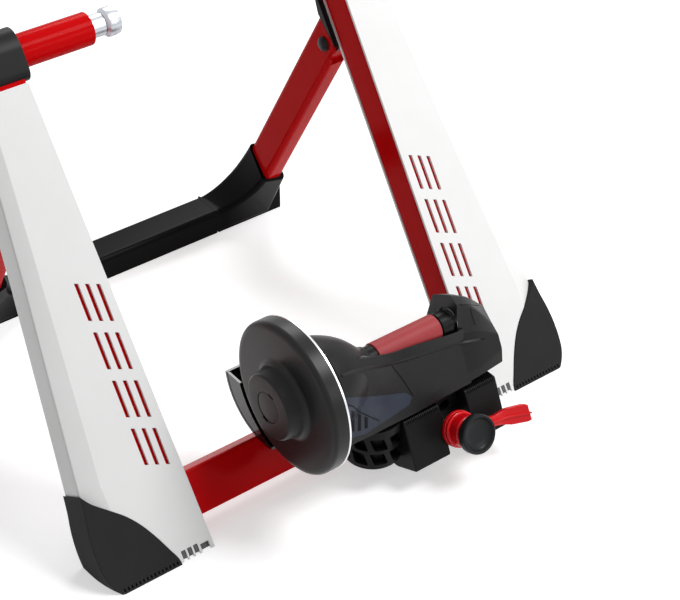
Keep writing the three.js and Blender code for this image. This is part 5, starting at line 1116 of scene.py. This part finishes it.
def traced(tree, points, shape):
    wide, high, deep = shape
    eye = UNIT.inverted() @ Vector(CAMERA_PLACE)
    spots = []
    for x, y in smooth_line(points, 5):
        spot, normal, _, _ = tree.ray_cast(eye, (UNIT.inverted().to_3x3() @ sight(x, y)).normalized())
        if spot is not None:
            spots.append((spot, normal))
    rings = []
    for i, (spot, normal) in enumerate(spots):
        run = (spots[min(i + 1, len(spots) - 1)][0] - spots[max(i - 1, 0)][0]).normalized()
        across = normal.cross(run).normalized() * wide
        rings.append([spot + across, spot + normal * high, spot - across, spot - normal * deep])
    return skin(rings)


whole = carved(whole, [rod(TROUGH_RADIUS, 3.7, 111, steps=72), rod(LEFT_SEAT, -12.3, 14),
                       rod(RECESS_RADIUS, 91, 112.4), rod(RIGHT_SEAT, 91, 119.3), rod(SHAFT_BORE, -77, 128)])
surface = BVHTree.FromBMesh(whole)
whole = carved(whole, [traced(surface, points, GROOVE_SHAPE) for points in GROOVES])
whole = carved(whole, [traced(surface, RIDGE, RIDGE_SHAPE)], "UNION")
print("housing", len(whole.faces), "faces")

# %% Housing halves
SEAM = 20.5
SEAM_HALF = 0.15
beyond = prism("X", rectangle(SEAM - SEAM_HALF, REACH, -REACH, REACH), -REACH, REACH)
before = prism("X", rectangle(-REACH, SEAM + SEAM_HALF, -REACH, REACH), -REACH, REACH)
rear_half = carved(whole.copy(), [beyond])
front_half = carved(whole, [before])
housing = finished("brake_housing", rear_half, UNIT, charcoal_nylon, "brake_unit", ["housing"],
                   edge=0.5, smooth=20)
finished("housing_front_cover", front_half, UNIT, charcoal_nylon, "brake_unit", ["front_cover"],
         edge=0.5, smooth=20)

# %% [markdown]
# The drum under the housing is an open basket, with two rows of slanted windows between its rings and
# posts. The wall is turned, the windows are cut round it, and a near-black cylinder fills it, so the
# windows show painted shade.

# %% Drum basket
DRUM_X = 11.5
DRUM_Y = -4
DRUM_LOW = -119.3
DRUM_HIGH = -69.8
DRUM_RADIUS = 30
DRUM_BORE = 24
DRUM_SIDE = 27
WINDOWS = 9
WINDOW_ROWS = ((6.5, 21), (25, 40))
WINDOW_HALF = 7.2
WINDOW_LEAN = 5
shell = turned([(DRUM_BORE, DRUM_LOW), (DRUM_RADIUS - 1.4, DRUM_LOW), (DRUM_RADIUS, DRUM_LOW + 1.4),
                (DRUM_RADIUS, DRUM_HIGH), (DRUM_BORE, DRUM_HIGH), (DRUM_BORE, DRUM_LOW)], "Z", 108)
cuts = []
for i in range(WINDOWS):
    for low, high in WINDOW_ROWS:
        corners = [(-WINDOW_HALF, DRUM_LOW + low), (WINDOW_HALF, DRUM_LOW + low),
                   (WINDOW_HALF + WINDOW_LEAN, DRUM_LOW + high),
                   (-WINDOW_HALF + WINDOW_LEAN, DRUM_LOW + high)]
        window = prism("Y", corners, 10, 40, 1.5, 3)
        cuts.append(moved(window, Matrix.Rotation(i * math.tau / WINDOWS, 4, "Z")))
shell = carved(shell, cuts)
# Painted shade: a near-black cylinder fills the basket right up to its wall, so every window looks dark.
shade_core = turned([(0, DRUM_LOW + 3), (23, DRUM_LOW + 3), (23.7, DRUM_LOW + 4), (23.7, DRUM_HIGH),
               (0, DRUM_HIGH)], "Z")
for bm, name, nodes, material in ((shell, "drum_basket", ["drum"], carrier_nylon),
                                  (shade_core, "drum_shade_core", [], black_polypropylene)):
    bm = carved(bm, [prism("X", rectangle(-REACH, REACH, -REACH, REACH), DRUM_SIDE - DRUM_X, REACH)])
    finished(name, moved(bm, Matrix.Translation((DRUM_X, DRUM_Y, 0))), UNIT, material, "brake_unit", nodes,
             edge=0.4 if nodes else 0)

# %% [markdown]
# The flywheel is a steel ring behind a moulded face. The face has a rounded rim, a conical hub with a
# thin line round its cap, and two small notches. A bright aluminium disc behind it carries the eddy
# currents and shows as a thin white ring. All are turned about the roller's axis.

# %% Flywheel face
FACE = -94
HUB = -113.5
BACK = -76.8
CAP = 16.4
BORE = 6.3
RIM = 80.4
NOTCH_TURN = 0.28
face = turned([(BORE, BACK), (BORE, HUB + 5), (CAP + GAP, HUB + 5), (CAP + GAP, HUB + 0.3), (CAP + 0.9, HUB),
               (31.6, HUB), (33.2, HUB + 0.3), (34.2, HUB + 1.1), (34.8, HUB + 2.4), (37.2, FACE - 5.4),
               (37.9, FACE - 3.4), (39.3, FACE - 1.7), (41.4, FACE - 0.5), (44.4, FACE), (72.6, FACE),
               (75.4, FACE + 0.25), (77.6, FACE + 0.9), (79.2, FACE + 2.1), (80.1, FACE + 3.8),
               (RIM, FACE + 5.6), (RIM, BACK), (77.9, BACK), (77.9, FACE + 6), (74, FACE + 3.4),
               (22.2, FACE + 2.4), (22.2, BACK), (BORE, BACK)], steps=144)
notches = [moved(prism("X", rectangle(-3.8, 3.8, CAP - 1, CAP + 2.8), HUB - 20, HUB + 5),
                 Matrix.Rotation(angle, 4, "X")) for angle in (NOTCH_TURN, math.pi + NOTCH_TURN)]
finished("flywheel_face", carved(face, notches, whole_faces=False), UNIT, flywheel_nylon, "rotor",
         ["flywheel_cover"], smooth=28)

# %% Hub cap, disc, steel ring, roller and shaft
TURNED_PARTS = (
    ("hub_cap_disc", flywheel_nylon, "hub_cap", 96,
     ((0, HUB + 0.3), (15.6, HUB + 0.3), (16.2, HUB + 0.6), (CAP, HUB + 1.2), (CAP, HUB + 4.8),
      (0, HUB + 4.8))),
    ("brake_ring", turned_aluminium, "brake_disc", 144,
     ((BORE, BACK + GAP), (RIM, BACK + GAP), (RIM + 0.3, BACK + 0.6), (RIM + 0.3, BACK + 2),
      (RIM, BACK + 2.4), (BORE, BACK + 2.4), (BORE, BACK + GAP))),
    ("flywheel_ring", black_oxide, "flywheel", 120,
     ((22.5, -86.1), (73.4, -86.1), (74, -85.5), (74, -77.7), (73.4, -77.1), (22.5, -77.1),
      (22.5, -86.1))),
    ("roller_core_collars", carrier_nylon, "roller_core", 96,
     ((BORE, 4), (12.8, 4), (13.4, 4.6), (13.4, 13.1), (12.8, 13.7), (11.8, 13.7), (11.8, 94.3),
      (12.8, 94.3), (13.4, 94.9), (13.4, 107.4), (12.8, 108), (BORE, 108), (BORE, 4))),
    ("roller_tyre_face", roller_rubber, "roller_sleeve", 96,
     ((12.1, 14), (14, 14), (14.6, 14.6), (14.6, 91.4), (14, 92), (12.1, 92), (12.1, 14))),
    ("steel_shaft", zinc_plate, "shaft", 48,
     ((0, -108.2), (5.4, -108.2), (6, -107.6), (6, 122.3), (5.3, 123), (0, 123))))
for name, material, node, steps, profile in TURNED_PARTS:
    finished(name, turned(profile, steps=steps), UNIT, material, "rotor", [node])

# %% [markdown]
# Ball bearings show two steel rings with a dark shield sunk between them. Each is one turned profile,
# with the shield's faces given a darker finish. The far bearing sits deeper and is a little smaller.

# %% Bearings
WIDTH = 9
for side, start, sunk, rim in (("left", -12, 0, 14), ("right", 110, 2.6, 13)):
    near, far = start + sunk, start + WIDTH
    race = turned([(BORE, start + 0.4), (6.7, start), (8.6, start), (8.6, near + 0.9),
                   (rim - 1.4, near + 0.9), (rim - 1.4, near), (rim - 0.4, near), (rim, near + 0.4),
                   (rim, far - 0.4), (rim - 0.4, far), (11.6, far), (11.6, far - 0.9), (8.6, far - 0.9),
                   (8.6, far), (6.7, far), (BORE, far - 0.4), (BORE, start + 0.4)])
    piece = finished(f"ball_bearing_{side}", race, UNIT, zinc_plate, "brake_unit", [f"bearing_{side}"])
    piece.data.materials.append(carrier_nylon)
    shield = 0
    for face in piece.data.polygons:
        reach = math.hypot(face.center.y - UNIT.translation.y, face.center.z - UNIT.translation.z) / MM
        if abs(face.normal.x) > 0.9 and 9 < reach < rim - 0.3:
            face.material_index = 1
            shield += 1
    print(side, "bearing shield faces", shield)

# %% [markdown]
# The guard hangs behind the flywheel's lower front quarter. The CAD shape is kept, and a union adds a
# polished flange that follows the flywheel's rim and a thin wall that closes the slot behind it.

# %% Flywheel guard and magnet plate
GUARD_Y, GUARD_Z = 40, -22.8
GUARD_DEEP, GUARD_TALL = 63, 60.5
FLANGE_THICK = 2.6
FLANGE_BORE = 83.6
FLANGE_TOP = -30.6
FLANGE_REAR = 24.5
CLEAR = 120


def guard_oval(inset, low, high):
    turns = [i * math.tau / 96 for i in range(96)]
    corners = [(GUARD_Y + (GUARD_DEEP - inset) * math.cos(a), GUARD_Z + (GUARD_TALL - inset) * math.sin(a))
               for a in turns]
    return prism("X", corners, low, high)


backing = carved(guard_oval(1.3, -87.5, -80.5), [guard_oval(3, -90, -78)])
backing = carved(backing, [prism("Y", rectangle(-87.5, -80.5, -62, -33), 0, CLEAR)], "INTERSECT")
low, high = FACE - 10, FACE + 10
flange = carved(guard_oval(0.2, FACE + 0.4, FACE + 0.4 + FLANGE_THICK), [
    rod(FLANGE_BORE, low, high, steps=144),
    prism("X", rectangle(-CLEAR, FLANGE_REAR, -CLEAR, CLEAR), low, high),
    prism("X", rectangle(-CLEAR, CLEAR, FLANGE_TOP, CLEAR), low, high),
    prism("X", [(96.5, -42), (98, -42), (94, -58), (92.4, -58)], low, high)])
guard = bmesh.new()
guard.from_mesh(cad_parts["guard"].data)
bmesh.ops.remove_doubles(guard, verts=guard.verts[:], dist=CAD_WELD)
guard = carved(moved(guard, UNIT.inverted()), [backing, flange], "UNION")
finished("flywheel_guard", guard, UNIT, polished_black, "brake_unit", ["guard"], edge=0.3, smooth=30)
softened_copy("magnet_plate", "magnet_ring", black_oxide, "brake_unit", 0.4)

# %% [markdown]
# A printed film covers part of the rear panel, with a few dark bars and a line on it. Each follows the
# panel's curve, so its outline is drawn on the photograph's plane, cut finely, and dropped onto the
# housing along straight rays. It is then lifted a little off the moulding and given a thin wall.

# %% Panel film
LABEL_LIFT = 0.35
INK_LIFT = 0.6
FILM_THICK = 0.0001
FILM = ((344, 397.5), (372, 396), (405, 392.5), (412, 396.5), (409, 405), (365, 434), (350, 438))
INK_LINE = ((347, 404), (353, 405.6), (359, 411), (379, 420), (378.6, 421), (358.4, 412), (352.4, 406.6),
            (347, 405.2))
INK_BARS = ((352.6, 410, 432), (359.2, 413, 431), (365.8, 416, 428.5))
INK_HALF = 1.5
housing_tree = BVHTree.FromObject(housing, bpy.context.evaluated_depsgraph_get())


def film(name, outline_px, material, lift, cuts):
    bm = bmesh.new()
    bm.faces.new([bm.verts.new((x, y, 0)) for x, y in outline_px])
    bmesh.ops.triangulate(bm, faces=bm.faces[:])
    for count in (cuts, 2):
        bmesh.ops.subdivide_edges(bm, edges=bm.edges[:], cuts=count, use_grid_fill=True)
    missed = 0
    for vert in bm.verts:
        spot = housing_tree.ray_cast(Vector(CAMERA_PLACE), sight(vert.co.x, vert.co.y))
        if spot[0] is None:
            missed += 1
            continue
        vert.co = spot[0] + spot[1] * lift * MM
    bmesh.ops.solidify(outward(bm), geom=bm.faces[:], thickness=FILM_THICK)
    print(name, "points that missed", missed)
    return finished(name, outward(bm), Matrix.Identity(4), material, "brake_unit", smooth=60)


film("panel_film", FILM, label_film, LABEL_LIFT, 8)
for i, (x, top, low) in enumerate(INK_BARS):
    corners = [(x - INK_HALF, top), (x + INK_HALF, top + 1.2), (x + INK_HALF, low - 1), (x - INK_HALF, low)]
    film(f"ink_bar_{i + 1}", corners, label_ink, INK_LIFT, 3)
film("ink_line", INK_LINE, label_ink, INK_LIFT, 3)
